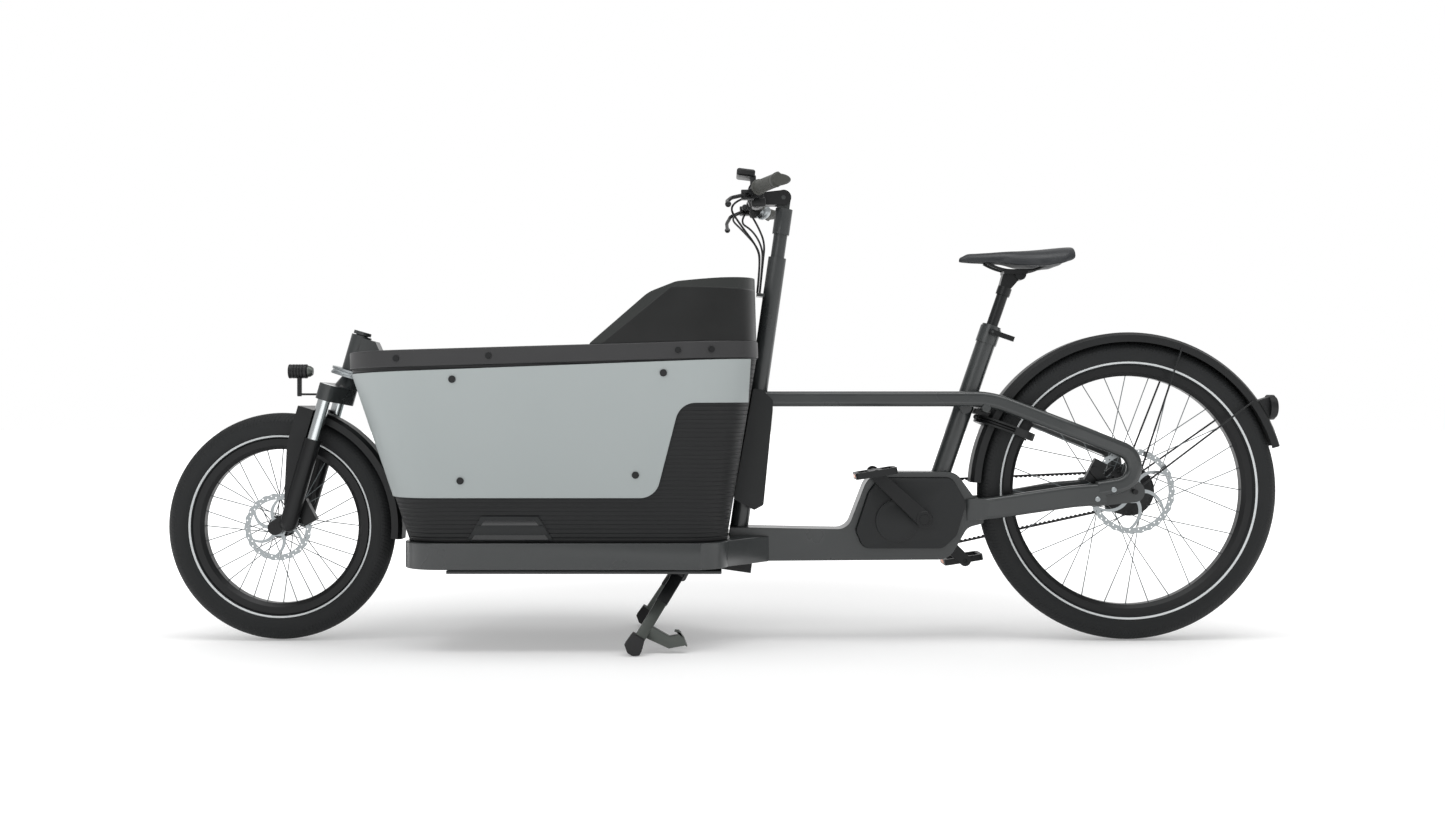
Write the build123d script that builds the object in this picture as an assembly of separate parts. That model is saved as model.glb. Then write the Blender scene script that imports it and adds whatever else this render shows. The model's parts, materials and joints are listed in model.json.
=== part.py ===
from build123d import *
from math import acos, asin, atan2, cos, degrees, hypot, pi, radians, sin, tan
import os

# Two-wheeled cargo bicycle with the load box ahead of the rider.
# +X points to the front wheel, +Y to the rider's left, +Z up.  The origin lies on the ground,
# midway between the front of the front tyre and the back of the tail light.  Sizes are in mm.

# ---------------------------------------------------------------- overall layout
wheelbase = 2021.0
crank_axle_back = 494.0         # crank axle ahead of the rear axle
crank_axle_height = 292.0
tail_light_reach = 1.0          # back of the tail light behind the rear tyre

# ---------------------------------------------------------------- clearances
moving_gap = 0.6                # between pieces of different bodies
running_fit = 0.05              # radial, shaft in its bore
hub_gap = 0.3                   # hub end to fork or dropout

# ---------------------------------------------------------------- wheels
front_tyre_radius = 271.0
front_tyre_width = 66.0
front_bead_radius = 203.0
front_rim_depth = 19.0
rear_tyre_radius = 357.0
rear_tyre_width = 66.0
rear_bead_radius = 292.0
rear_rim_depth = 19.0
tyre_wall = 4.0
rim_width = 38.0
rim_flange = 6.0
spoke_radius = 1.1
spoke_count = 32
spoke_cross_angle = 52.0        # how far a spoke's ends are turned round the hub
front_hub_half = 49.7
front_flange_radius = 27.0
front_flange_side = 24.0
front_hub_shell = 16.0
front_axle_radius = 7.5
front_rotor_radius = 80.0
front_rotor_side = 39.5
rear_hub_half = 66.0
rear_flange_radius = 60.0
rear_flange_side = 27.0
rear_hub_shell = 52.0
rear_axle_radius = 6.0
rear_rotor_radius = 101.5
rear_rotor_side = 54.0
rotor_thickness = 1.8
rotor_band = 15.0

# ---------------------------------------------------------------- fork and steering
head_angle = 16.2               # steering axis from upright
fork_rake = 55.0                # axle ahead of the steering axis
stanchion_forward = 26.0        # stanchions ahead of the steering axis
leg_spacing = 140.0
stanchion_radius = 15.0
leg_radius = 20.0
steerer_radius = 14.3
leg_top = 226.0                 # these five run along the steering axis, from the axle
crown_bottom = 322.0
crown_top = 360.0
pulley_bottom = 386.0
head_tube_bottom = 404.0
head_tube_top = 490.0
head_tube_radius = 24.0
head_bearing_radius = 18.0
steering_pulley_radius = 46.0
fork_travel = 26.0
wheel_room = 50.0               # how far the wheel may rise before it meets the post
fender_gap = 17.0               # tyre to fender
fender_thickness = 3.0
fender_skirt = 20.0
front_fender_width = 74.0
rear_fender_width = 72.0
post_width = 46.0
post_depth = 34.0

# ---------------------------------------------------------------- load box
box_behind_axle = 332.0         # front axle to the box's lower front edge
box_floor_length = 732.0
box_floor_height = 250.0
box_floor_width = 440.0
box_top_length = 925.0
box_top_overhang = 125.0        # upper front edge ahead of the lower one
box_top_width = 600.0
box_front_height = 640.0
box_rear_height = 667.0
box_wall = 6.0
box_corner_floor = 95.0
box_corner_top = 150.0
rim_height = 38.0
rim_thickness = 24.0
rim_overhang = 4.0
panel_thickness = 4.0
backrest_height = 152.0
backrest_length = 370.0
backrest_thickness = 20.0
bolt_head_radius = 8.0
bolt_head_height = 3.0
rim_bolt_radius = 7.0

# ---------------------------------------------------------------- frame
platform_bottom = 190.0
platform_width = 472.0
platform_wall = 12.0
platform_top_plate = 4.0
skid_drop = 16.0                # skid rails below the platform
beam_width = 84.0
beam_top = 268.0
mast_lean = 8.1
mast_behind_box = 27.0
mast_radius = 21.6
mast_bore = 18.6
mast_length = 670.0
column_radius = 16.6
column_top = 735.0
side_tube_height = 575.0
side_tube_tall = 36.0
side_tube_wide = 28.0
side_tube_front_side = 30.0     # half spacing of the two tubes
side_tube_seat_side = 52.0
side_tube_rear_side = 89.0
loop_radius = 44.5
stay_tall = 51.0
stay_wide = 28.0
seat_angle = 19.1
seat_tube_radius = 23.0
seat_tube_length = 370.0
seatpost_radius = 13.6
saddle_length = 270.0
saddle_width = 176.0
saddle_height = 918.0

# ---------------------------------------------------------------- drive
ring_teeth = 48
sprocket_teeth = 24
belt_pitch = 11.0
belt_side = 52.0
belt_width = 11.0
belt_thickness = 4.0
crank_length = 165.0
crank_angle = 42.8              # left crank above the horizontal, pointing forward
crank_inner_side = 72.0
crank_thickness = 14.0
crank_axle_radius = 12.0
pedal_length = 96.0
pedal_width = 92.0
pedal_thickness = 15.0
pedal_axle_radius = 4.5
pedal_tilt = 9.0

# ---------------------------------------------------------------- handlebar
bar_half_width = 305.0
bar_radius = 11.1
bar_clamp_radius = 15.9
bar_forward = 64.0              # bar ahead of the stem's pivot
bar_sweep = 50.0
grip_length = 130.0
grip_radius = 17.0
lever_length = 100.0
cable_radius = 2.5

# ---------------------------------------------------------------- stand
stand_pivot_behind_axle = 951.0
stand_pivot_height = 166.0
stand_foot_forward = 95.0
stand_foot_side = 235.0
stand_leg_side = 118.0
stand_leg_radius = 12.0
foot_radius = 21.0


# ================================================================ helpers

def side_plane(side):
    """Upright plane at one distance from the bike's middle, drawn in X and Z."""
    return Plane(origin=(0, side, 0), x_dir=(1, 0, 0), z_dir=(0, -1, 0))


def outline(points, rounding=0):
    """Closed face through points, every corner rounded by one radius or by a list of them."""
    if not isinstance(rounding, list):
        rounding = [rounding] * len(points)
    return make_face(FilletPolyline(*points, radius=rounding, close=True))


def side_prism(points, low, high, rounding=0):
    """Solid with an outline in X and Z that runs across the bike from low to high."""
    return extrude(side_plane(high) * outline(points, rounding), amount=high - low)


def disc(x, z, radius, low, high):
    """Round piece with its axis across the bike."""
    return Pos(x, (low + high) / 2, z) * Rot(90, 0, 0) * Cylinder(radius, high - low)


def rod(start, end, radius):
    """Straight round bar."""
    start, end = Vector(start), Vector(end)
    return extrude(Plane(origin=start, z_dir=end - start) * Circle(radius), amount=(end - start).length)


def swept(points, bends, section, across=(0, 1, 0)):
    """Section carried along straight runs joined by arcs; its width stays nearest to across."""
    path = FilletPolyline(*points, radius=bends)
    start = Plane(origin=path @ 0, x_dir=across, z_dir=path % 0)
    return sweep(start * section, path=path)


def mirrored(piece):
    """The same piece on the bike's right side."""
    return mirror(piece, about=Plane.XZ)


def both_sides(piece):
    return [piece, mirrored(piece)]


def turned(section, x, z):
    """Ring made by turning a section, drawn as radius and side, round an axle."""
    return Pos(x, 0, z) * Rot(-90, 0, 0) * revolve(Plane.XZ * section, Axis.Z)


def box_between(x0, x1, y0, y1, z0, z1):
    return Pos((x0 + x1) / 2, (y0 + y1) / 2, (z0 + z1) / 2) * Box(x1 - x0, y1 - y0, z1 - z0)


# ================================================================ anchor points

overall_length = front_tyre_radius + wheelbase + rear_tyre_radius + tail_light_reach
front_x = overall_length / 2 - front_tyre_radius
front_z = front_tyre_radius
rear_x = front_x - wheelbase
rear_z = rear_tyre_radius
crank_x = rear_x + crank_axle_back
crank_z = crank_axle_height

lean = radians(head_angle)
steer_up = Vector(-sin(lean), 0, cos(lean))
steer_fore = Vector(cos(lean), 0, sin(lean))
steer_foot = Vector(front_x, 0, front_z) - steer_fore * fork_rake
fork_frame = Plane(origin=steer_foot, x_dir=steer_fore, z_dir=steer_up).location

box_front_x = front_x - box_behind_axle
box_rear_x = box_front_x - box_floor_length
box_top_front_x = box_front_x + box_top_overhang
box_top_rear_x = box_top_front_x - box_top_length
rim_slope = degrees(atan2(box_rear_height - box_front_height, box_top_length))

mast_foot = Vector(box_rear_x - mast_behind_box, 0, box_floor_height)
mast_up = Vector(-sin(radians(mast_lean)), 0, cos(radians(mast_lean)))
mast_fore = Vector(cos(radians(mast_lean)), 0, sin(radians(mast_lean)))
mast_frame = Plane(origin=mast_foot, x_dir=mast_fore, z_dir=mast_up).location

platform_top = box_floor_height


def on_mast(along, fore=0.0, side=0.0):
    return mast_foot + mast_up * along + mast_fore * fore + Vector(0, side, 0)


def on_fork(along, fore=0.0, side=0.0):
    return steer_foot + steer_up * along + steer_fore * fore + Vector(0, side, 0)


# ================================================================ wheels

def tyre(x, z, radius, width, bead):
    """Hollow tyre, open towards the rim between its two beads."""
    middle = radius - width / 2
    bead_half = rim_width / 2 - 2.8
    body = Pos(middle, 0) * Circle(width / 2)
    body += Pos((middle + bead) / 2, 0) * Rectangle(middle - bead, 2 * bead_half)
    cavity = Pos(middle, 0) * Circle(width / 2 - tyre_wall)
    cavity += Pos((middle + bead) / 2 - 1, 0) * Rectangle(middle - bead + 2, 2 * bead_half - 7)
    return turned(body - cavity, x, z)


def rim(x, z, bead, depth):
    """Deep rim with a hooked flange on each side of the tyre's beads."""
    half = rim_width / 2
    inner = bead - depth
    bed = bead - 2.5
    section = Polyline((inner, -11), (inner, 11), (inner + 9, half), (bead + rim_flange, half),
                       (bead + rim_flange, half - 2.8), (bed, half - 2.8), (bed - 3, 10),
                       (bed - 3, -10), (bed, 2.8 - half), (bead + rim_flange, 2.8 - half),
                       (bead + rim_flange, -half), (inner + 9, -half), close=True)
    return turned(make_face(section), x, z)


def spokes(x, z, flange_radius, flange_side, rim_inner):
    """Tangent spokes; neighbours lean opposite ways and start on opposite faces of the flange."""
    pieces = []
    per_side = spoke_count // 2
    for index in range(spoke_count):
        side = 1 if index % 2 else -1
        pair = index // 2
        forward = 1 if pair % 2 else -1
        rim_turn = 2 * pi * index / spoke_count
        hub_turn = rim_turn + forward * radians(spoke_cross_angle)
        face = side * (flange_side + forward * 2.6)
        start = (x + (flange_radius - 3) * cos(hub_turn), face, z + (flange_radius - 3) * sin(hub_turn))
        end = (x + (rim_inner + 2) * cos(rim_turn), side * 4.0, z + (rim_inner + 2) * sin(rim_turn))
        pieces.append(rod(start, end, spoke_radius))
    return pieces


def hub(x, z, half, shell, flange_radius, flange_side, bore, rotor_side, rotor_seat):
    """Hub shell with two spoke flanges and a seat for the rotor; the axle turns in its bore."""
    nose = bore + 5.0
    points = [(bore, -half), (nose, -half), (nose, -flange_side - 12), (shell, -flange_side - 3)]
    points += [(flange_radius, -flange_side - 1.5), (flange_radius, -flange_side + 1.5)]
    points += [(shell, -flange_side + 4), (shell, flange_side - 4), (flange_radius, flange_side - 1.5)]
    points += [(flange_radius, flange_side + 1.5), (shell, flange_side + 3), (rotor_seat + 5, flange_side + 4)]
    points += [(rotor_seat + 5, rotor_side - rotor_thickness / 2), (rotor_seat, rotor_side - rotor_thickness / 2)]
    points += [(rotor_seat, rotor_side + 4), (nose, rotor_side + 4), (nose, half), (bore, half)]
    return turned(make_face(Polyline(*points, close=True)), x, z)


def rotor(x, z, radius, side, seat):
    """Brake rotor: a friction band carried by six arms."""
    band = Circle(radius) - Circle(radius - rotor_band)
    centre = Circle(seat + 8) - Circle(seat)
    plate = band + centre
    for index in range(6):
        arm = Rot(0, 0, index * 60) * Pos((seat + radius) / 2 - 2, 0) * Rectangle(radius - seat - 14, 7)
        plate += arm
    flat = extrude(plate, amount=rotor_thickness / 2, both=True)
    return Pos(x, side, z) * Rot(-90, 0, 0) * flat


front_rotor_seat = 15.0
rear_rotor_seat = 22.0

front_tyre = tyre(front_x, front_z, front_tyre_radius, front_tyre_width, front_bead_radius)
front_rim = rim(front_x, front_z, front_bead_radius, front_rim_depth)
front_spokes = spokes(front_x, front_z, front_flange_radius, front_flange_side,
                      front_bead_radius - front_rim_depth)
front_hub = hub(front_x, front_z, front_hub_half, front_hub_shell, front_flange_radius,
                front_flange_side, front_axle_radius + running_fit, front_rotor_side, front_rotor_seat)
front_rotor = rotor(front_x, front_z, front_rotor_radius, front_rotor_side, front_rotor_seat)

rear_rim = rim(rear_x, rear_z, rear_bead_radius, rear_rim_depth)
rear_tyre = tyre(rear_x, rear_z, rear_tyre_radius, rear_tyre_width, rear_bead_radius) - rear_rim
rear_spokes = spokes(rear_x, rear_z, rear_flange_radius, rear_flange_side,
                     rear_bead_radius - rear_rim_depth)
rear_rotor = rotor(rear_x, rear_z, rear_rotor_radius, rear_rotor_side, rear_rotor_seat)


def rear_hub_shell_piece():
    """Internal gear hub: a wide shell, cut short on the right where the sprocket runs."""
    bore = rear_axle_radius + running_fit
    right_end = -(belt_side - belt_width / 2 - 2.0)
    nose = bore + 6.0
    points = [(bore, right_end), (rear_hub_shell - 8, right_end), (rear_hub_shell, -rear_flange_side - 6)]
    points += [(rear_flange_radius, -rear_flange_side - 2), (rear_flange_radius, -rear_flange_side + 2)]
    points += [(rear_hub_shell, -rear_flange_side + 5), (rear_hub_shell, rear_flange_side - 5)]
    points += [(rear_flange_radius, rear_flange_side - 2), (rear_flange_radius, rear_flange_side + 2)]
    points += [(rear_hub_shell, rear_flange_side + 5), (rear_rotor_seat + 5, rear_rotor_side - 9)]
    points += [(rear_rotor_seat + 5, rear_rotor_side - rotor_thickness / 2)]
    points += [(rear_rotor_seat, rear_rotor_side - rotor_thickness / 2)]
    points += [(rear_rotor_seat, rear_rotor_side + 4), (nose, rear_rotor_side + 4)]
    points += [(nose, rear_hub_half), (bore, rear_hub_half)]
    return turned(make_face(Polyline(*points, close=True)), rear_x, rear_z)


rear_hub = rear_hub_shell_piece()
rear_axle = disc(rear_x, rear_z, rear_axle_radius, -rear_hub_half - 22, rear_hub_half + 22)

# ================================================================ belt drive

ring_radius = ring_teeth * belt_pitch / (2 * pi)
sprocket_radius = sprocket_teeth * belt_pitch / (2 * pi)


def toothed_disc(radius, teeth, x, z, width):
    """Belt pulley: a disc with a tooth for every belt pitch."""
    face = Circle(radius - belt_thickness)
    for index in range(teeth):
        tooth = Pos(radius - belt_thickness, 0) * Rectangle(5, 4.6)
        face += Rot(0, 0, 360 * index / teeth) * tooth
    flat = extrude(face, amount=width / 2, both=True)
    return Pos(x, -belt_side, z) * Rot(-90, 0, 0) * flat


def belt():
    """Plain belt round both pulleys, clear of their teeth."""
    reach = hypot(crank_x - rear_x, rear_z - crank_z)
    slope = atan2(crank_z - rear_z, crank_x - rear_x)
    open_angle = acos((ring_radius - sprocket_radius) / reach)

    def loop(extra):
        big, small = ring_radius + extra, sprocket_radius + extra
        corners = []
        for sign in (1, -1):
            turn = slope + pi - sign * open_angle
            corners.append(((crank_x + big * cos(turn), crank_z + big * sin(turn)),
                            (rear_x + small * cos(turn), rear_z + small * sin(turn))))
        straight = side_prism([corners[0][0], corners[0][1], corners[1][1], corners[1][0]],
                              -belt_side - belt_width / 2, -belt_side + belt_width / 2)
        ends = disc(crank_x, crank_z, big, -belt_side - belt_width / 2, -belt_side + belt_width / 2)
        ends += disc(rear_x, rear_z, small, -belt_side - belt_width / 2, -belt_side + belt_width / 2)
        return straight + ends

    return loop(belt_thickness / 2 + 1.0) - loop(1.0 - belt_thickness / 2)


drive_belt = belt()
rear_sprocket = toothed_disc(sprocket_radius - 0.4, sprocket_teeth, rear_x, rear_z, belt_width - 2)
rear_sprocket -= disc(rear_x, rear_z, rear_axle_radius + running_fit, -belt_side - 20, -belt_side + 20)

crank_turn = radians(crank_angle)
pedal_x = crank_length * cos(crank_turn)
pedal_z = crank_length * sin(crank_turn)


def crank_arm(sign):
    """Crank arm: wide at the axle, narrower at the pedal."""
    low = crank_inner_side if sign > 0 else -crank_inner_side - crank_thickness
    high = low + crank_thickness
    face = make_hull((Circle(19) + Pos(crank_length, 0) * Circle(14)).edges())
    arm = extrude(face, amount=crank_thickness)
    turn = crank_angle if sign > 0 else crank_angle + 180
    arm = Pos(crank_x, high, crank_z) * Rot(90, 0, 0) * Rot(0, 0, turn) * arm
    arm -= disc(crank_x, crank_z, crank_axle_radius, low - 1, high + 1)
    eye_x, eye_z = crank_x + sign * pedal_x, crank_z + sign * pedal_z
    arm -= disc(eye_x, eye_z, pedal_axle_radius + running_fit, low - 1, high + 1)
    return arm


crank_arms = [crank_arm(1), crank_arm(-1)]
belt_ring = toothed_disc(ring_radius - 0.4, ring_teeth, crank_x, crank_z, belt_width - 3)
belt_ring -= disc(crank_x, crank_z, ring_radius - 18, -belt_side - 20, -belt_side + 20)
for index in range(4):
    spoke_arm = Pos((ring_radius - 14) / 2, 0) * Rectangle(ring_radius - 14, 15)
    spoke_arm = extrude(spoke_arm, amount=2.5, both=True)
    turn = Rot(-90, 0, 0) * Rot(0, 0, index * 90 + 45)
    belt_ring += Pos(crank_x, -belt_side, crank_z) * turn * spoke_arm
belt_ring += disc(crank_x, crank_z, 20, -belt_side - 4, -belt_side + 3)
crank_end = crank_inner_side + crank_thickness + 1
belt_ring += disc(crank_x, crank_z, crank_axle_radius, -crank_end, crank_end)


def pedal(sign):
    """Flat pedal: a cage round its axle, open in front of and behind it."""
    x, z = crank_x + sign * pedal_x, crank_z + sign * pedal_z
    near = crank_inner_side + crank_thickness + 4
    cage = RectangleRounded(pedal_length, pedal_width, 10)
    for place in (-1, 1):
        cage -= Pos(place * 27, 0) * RectangleRounded(24, pedal_width - 20, 4)
    body = extrude(cage, amount=pedal_thickness / 2, both=True)
    body = Pos(x, sign * (near + pedal_width / 2), z) * Rot(0, pedal_tilt, 0) * body
    body += disc(x, z, 9, min(sign * near, sign * (near + pedal_width)),
                 max(sign * near, sign * (near + pedal_width)))
    inner, outer = crank_inner_side + 2, near + 2
    return body + disc(x, z, pedal_axle_radius, min(sign * inner, sign * outer), max(sign * inner, sign * outer))


pedal_left = pedal(1)
pedal_right = pedal(-1)

# ================================================================ fork

leg_side = leg_spacing / 2
stanchion_low = 95.0
lug_width = 16.0
brace_depth = 38.0
brace_forward = stanchion_forward + stanchion_radius + moving_gap + brace_depth / 2
brace_top = front_tyre_radius + 22.0

stanchions = []
for side in (leg_side, -leg_side):
    piece = Pos(stanchion_forward, side, (stanchion_low + crown_top) / 2)
    stanchions.append(fork_frame * (piece * Cylinder(stanchion_radius, crown_top - stanchion_low)))


def fork_crown_piece():
    """Crown and steerer: the crown grips both stanchions, the steerer turns in the head tube."""
    height = crown_top - crown_bottom
    middle = (crown_top + crown_bottom) / 2
    plan = make_hull((Pos(stanchion_forward, leg_side) * Circle(stanchion_radius + 6)
                      + Pos(stanchion_forward, -leg_side) * Circle(stanchion_radius + 6)
                      + Circle(26)).edges())
    crown = Pos(0, 0, crown_bottom) * extrude(plan, amount=height)
    for side in (leg_side, -leg_side):
        crown -= Pos(stanchion_forward, side, middle) * Cylinder(stanchion_radius, height + 2)
    neck = Pos(0, 0, (crown_top + pulley_bottom) / 2) * Cone(30, 18, pulley_bottom - crown_top)
    top = head_tube_top + 1.0
    steerer = Pos(0, 0, (crown_top + top + 6) / 2) * Cylinder(steerer_radius, top + 6 - crown_top)
    cap = Pos(0, 0, top + 5) * Cylinder(21, 8)
    return fork_frame * (crown + neck + steerer + cap)


def steering_pulley_piece():
    """Cable pulley clamped on the steerer below the head tube."""
    height = head_tube_bottom - pulley_bottom - 2 * moving_gap
    middle = (head_tube_bottom + pulley_bottom) / 2
    wheel = Cylinder(steering_pulley_radius, height) - Cylinder(steerer_radius, height + 2)
    groove = Torus(steering_pulley_radius + 1, 3.5)
    return fork_frame * (Pos(0, 0, middle) * (wheel - groove))


def fork_lowers_piece():
    """Both lower legs, the brace over the tyre and the axle lugs, cast in one piece."""
    lug_inner = front_hub_half + hub_gap
    leg = Pos(stanchion_forward, leg_side, (leg_top + leg_radius) / 2) * Cylinder(leg_radius, leg_top - leg_radius)
    leg += Pos(stanchion_forward, leg_side, leg_radius) * Sphere(leg_radius)
    lug = make_hull((Pos(stanchion_forward, 40) * Circle(14) + Pos(fork_rake, 0) * Circle(17)).edges())
    leg += extrude(side_plane(lug_inner + lug_width) * lug, amount=lug_width)
    rib = make_hull((Pos(brace_forward, leg_top - 24) * Circle(brace_depth / 2)
                     + Pos(stanchion_forward + 3, 70) * Circle(leg_radius - 1)).edges())
    leg += extrude(side_plane(leg_side + 9) * rib, amount=26)
    post_low = leg_top - 22
    post = Box(brace_depth, 26, brace_top - post_low)
    leg += Pos(brace_forward, leg_side - 4, (brace_top + post_low) / 2) * post
    lowers = leg + mirrored(leg)
    lowers += Pos(brace_forward, 0, brace_top - 6) * Box(brace_depth, leg_spacing + 18, 12)
    bore_low = stanchion_low - fork_travel - 6
    for side in (leg_side, -leg_side):
        bore = Cylinder(stanchion_radius + running_fit, brace_top - bore_low)
        lowers -= Pos(stanchion_forward, side, (brace_top + bore_low) / 2) * bore
    hole = Pos(fork_rake, 0, 0) * Rot(90, 0, 0) * Cylinder(front_axle_radius, 2 * (lug_inner + 30))
    return fork_frame * (lowers - hole)


fork_crown = fork_crown_piece()
steering_pulley = steering_pulley_piece()
fork_lowers = fork_lowers_piece()
front_axle_end = front_hub_half + hub_gap + 16
front_axle = disc(front_x, front_z, front_axle_radius, -front_axle_end, front_axle_end)


def fender(x, z, tyre_radius, width, start, end):
    """Arched fender with side skirts, from one angle to another above the front horizontal."""
    inner = tyre_radius + fender_gap
    outer = inner + fender_thickness
    half = width / 2
    shell = Polyline((inner - fender_skirt, -half), (inner - fender_skirt, -half + fender_thickness),
                     (inner - 7, -half + fender_thickness), (inner, -half + 16), (inner, half - 16),
                     (inner - 7, half - fender_thickness), (inner - fender_skirt, half - fender_thickness),
                     (inner - fender_skirt, half), (outer - 7, half), (outer, half - 14),
                     (outer, 14 - half), (outer - 7, -half), close=True)
    ring = revolve(Plane.XZ * make_face(shell), Axis.Z, revolution_arc=end - start)
    return Pos(x, 0, z) * Rot(90, 0, 0) * Rot(0, 0, start) * ring


front_fender = fender(front_x, front_z, front_tyre_radius, front_fender_width, 108, 186) - fork_lowers


def caliper(x, z, radius, rotor_side, inner, outer, turn):
    """Brake caliper: a block with a slot that the rotor runs through."""
    block = Pos(0, (inner + outer) / 2, 0) * Box(32, outer - inner, 56)
    block -= Pos(-10, rotor_side, 0) * Box(32, rotor_thickness + 3, 60)
    return Pos(x, 0, z) * Rot(0, -turn, 0) * Pos(radius - 4, 0, 0) * block


front_caliper = caliper(front_x, front_z, front_rotor_radius, front_rotor_side, 28, front_hub_half + hub_gap, 152)
rear_caliper = caliper(rear_x, rear_z, rear_rotor_radius, rear_rotor_side, 42, 60, 28)
caliper_reach = rear_rotor_radius + 1
caliper_at = Pos(rear_x + caliper_reach * cos(radians(28)), rear_z + caliper_reach * sin(radians(28)))
caliper_bracket = make_hull((Pos(rear_x + 48, rear_z + 2) * Circle(9) + caliper_at * Circle(10)).edges())
rear_caliper += extrude(side_plane(rear_hub_half + hub_gap) * caliper_bracket, amount=rear_hub_half + hub_gap - 60)

# ================================================================ frame

wheel_clear_x = front_x - wheel_room * sin(lean)
wheel_clear_z = front_z + wheel_room * cos(lean)
post_arc = front_tyre_radius + fender_gap + fender_thickness + 5.0


def post_shape(front, back, half):
    """Bar that runs behind the front wheel and its fender, and over the pulley to the head tube."""
    arc = disc(wheel_clear_x, wheel_clear_z, back, -half, half)
    arc -= disc(wheel_clear_x, wheel_clear_z, front, -half - 1, half + 1)
    reach = back + 40
    window = side_prism([(wheel_clear_x - reach, wheel_clear_z), (wheel_clear_x, wheel_clear_z),
                         (wheel_clear_x - reach, wheel_clear_z + reach)], -half - 1, half + 1)
    lower = box_between(wheel_clear_x - back, wheel_clear_x - front, -half, half,
                        platform_bottom, wheel_clear_z)
    ahead = post_arc - front
    behind = back - post_arc - post_depth
    neck = -steering_pulley_radius - 10 + ahead
    over = head_tube_bottom + 3
    corners = [(over - 23, neck), (over, neck), (over, 0), (head_tube_top - 4 + behind, 0),
               (head_tube_top - 4 + behind, -40 - behind), (over + 13, -96 - behind)]
    face = [(wheel_clear_x - front * cos(pi / 4), wheel_clear_z + front * sin(pi / 4))]
    face += [(on_fork(along, fore).X, on_fork(along, fore).Z) for along, fore in corners]
    face += [(wheel_clear_x - back * cos(pi / 4), wheel_clear_z + back * sin(pi / 4))]
    return (arc & window) + lower + side_prism(face, -half, half)


def front_post_piece():
    """Head tube and the post that joins it to the platform."""
    length = head_tube_top - head_tube_bottom
    middle = (head_tube_top + head_tube_bottom) / 2
    shell = fork_frame * (Pos(0, 0, middle) * Cylinder(head_tube_radius, length))
    bore = fork_frame * (Pos(0, 0, middle) * Cylinder(head_bearing_radius, length + 60))
    return post_shape(post_arc, post_arc + post_depth, post_width / 2) + shell - bore


front_post = front_post_piece()

steering_bearings = []
for place in (head_tube_bottom + 6, head_tube_top - 6):
    race = Cylinder(head_bearing_radius, 12) - Cylinder(steerer_radius + running_fit, 14)
    steering_bearings.append(fork_frame * (Pos(0, 0, place) * race))


def section_at(x0, x1, half, corner, z_rear, z_front, grow):
    """Rounded rectangle between two X positions, on a plane that may slope along X."""
    middle = (x0 + x1) / 2
    slope = atan2(z_rear - z_front, x1 - x0)
    length = hypot(x1 - x0, z_rear - z_front)
    plane = Plane(origin=(middle, 0, (z_front + z_rear) / 2), x_dir=(cos(slope), 0, -sin(slope)),
                  z_dir=(sin(slope), 0, cos(slope)))
    return plane * RectangleRounded(length + 2 * grow, 2 * (half + grow), corner + grow)


def box_body(grow, floor_rise=0.0, top_rise=0.0):
    """The load box's tapered form, grown or shrunk on all sides."""
    low = section_at(box_rear_x, box_front_x, box_floor_width / 2, box_corner_floor,
                     box_floor_height + floor_rise, box_floor_height + floor_rise, grow)
    high = section_at(box_top_rear_x, box_top_front_x, box_top_width / 2, box_corner_top,
                      box_rear_height + top_rise, box_front_height + top_rise, grow)
    return loft([low, high])


def rim_band(low, high, outer, inner):
    """Band round the box's mouth, between two heights above the mouth and two growths."""
    shapes = []
    for grow in (outer, inner):
        face = section_at(box_top_rear_x, box_top_front_x, box_top_width / 2, box_corner_top,
                          box_rear_height + low, box_front_height + low, grow)
        shapes.append(extrude(face, amount=high - low))
    return shapes[0] - shapes[1]


mast_clear = mast_frame * (Pos(0, 0, 350) * Cylinder(mast_radius + 3, 900))
recess_front = post_arc - 60
recess_gap = 5.0
cable_room = 15.0
recess_half = post_width / 2 + cable_room
recess = post_shape(recess_front, post_arc + post_depth + recess_gap, recess_half)
recess_wall = post_shape(recess_front, post_arc + post_depth + recess_gap + box_wall, recess_half + box_wall)
head_room = fork_frame * (Pos(0, 0, head_tube_top) * Cylinder(recess_half, 240))
recess += head_room

tub = box_body(0) - recess
cavity = box_body(-box_wall, box_wall, 20) - recess_wall
tub = tub - cavity - mast_clear


def box_front_at(height):
    """Where the box's front edge lies at one height."""
    share = (height - box_floor_height) / (box_front_height - box_floor_height)
    return box_front_x + box_top_overhang * share


def box_rear_at(height):
    """Where the box's rear edge lies at one height."""
    share = (height - box_floor_height) / (box_rear_height - box_floor_height)
    return box_rear_x + (box_top_rear_x - box_rear_x) * share


def box_half_at(height):
    """Half width of the box at one height."""
    share = (height - box_floor_height) / (box_front_height - box_floor_height)
    return (box_floor_width + (box_top_width - box_floor_width) * share) / 2


cargo_rim = rim_band(0, rim_height, rim_overhang, rim_overhang - rim_thickness) - recess - mast_clear

panel_low = 352.0
panel_shoulder = 565.0
panel_step_x = box_rear_x + 160
panel_shoulder_x = box_rear_x + 104


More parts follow.
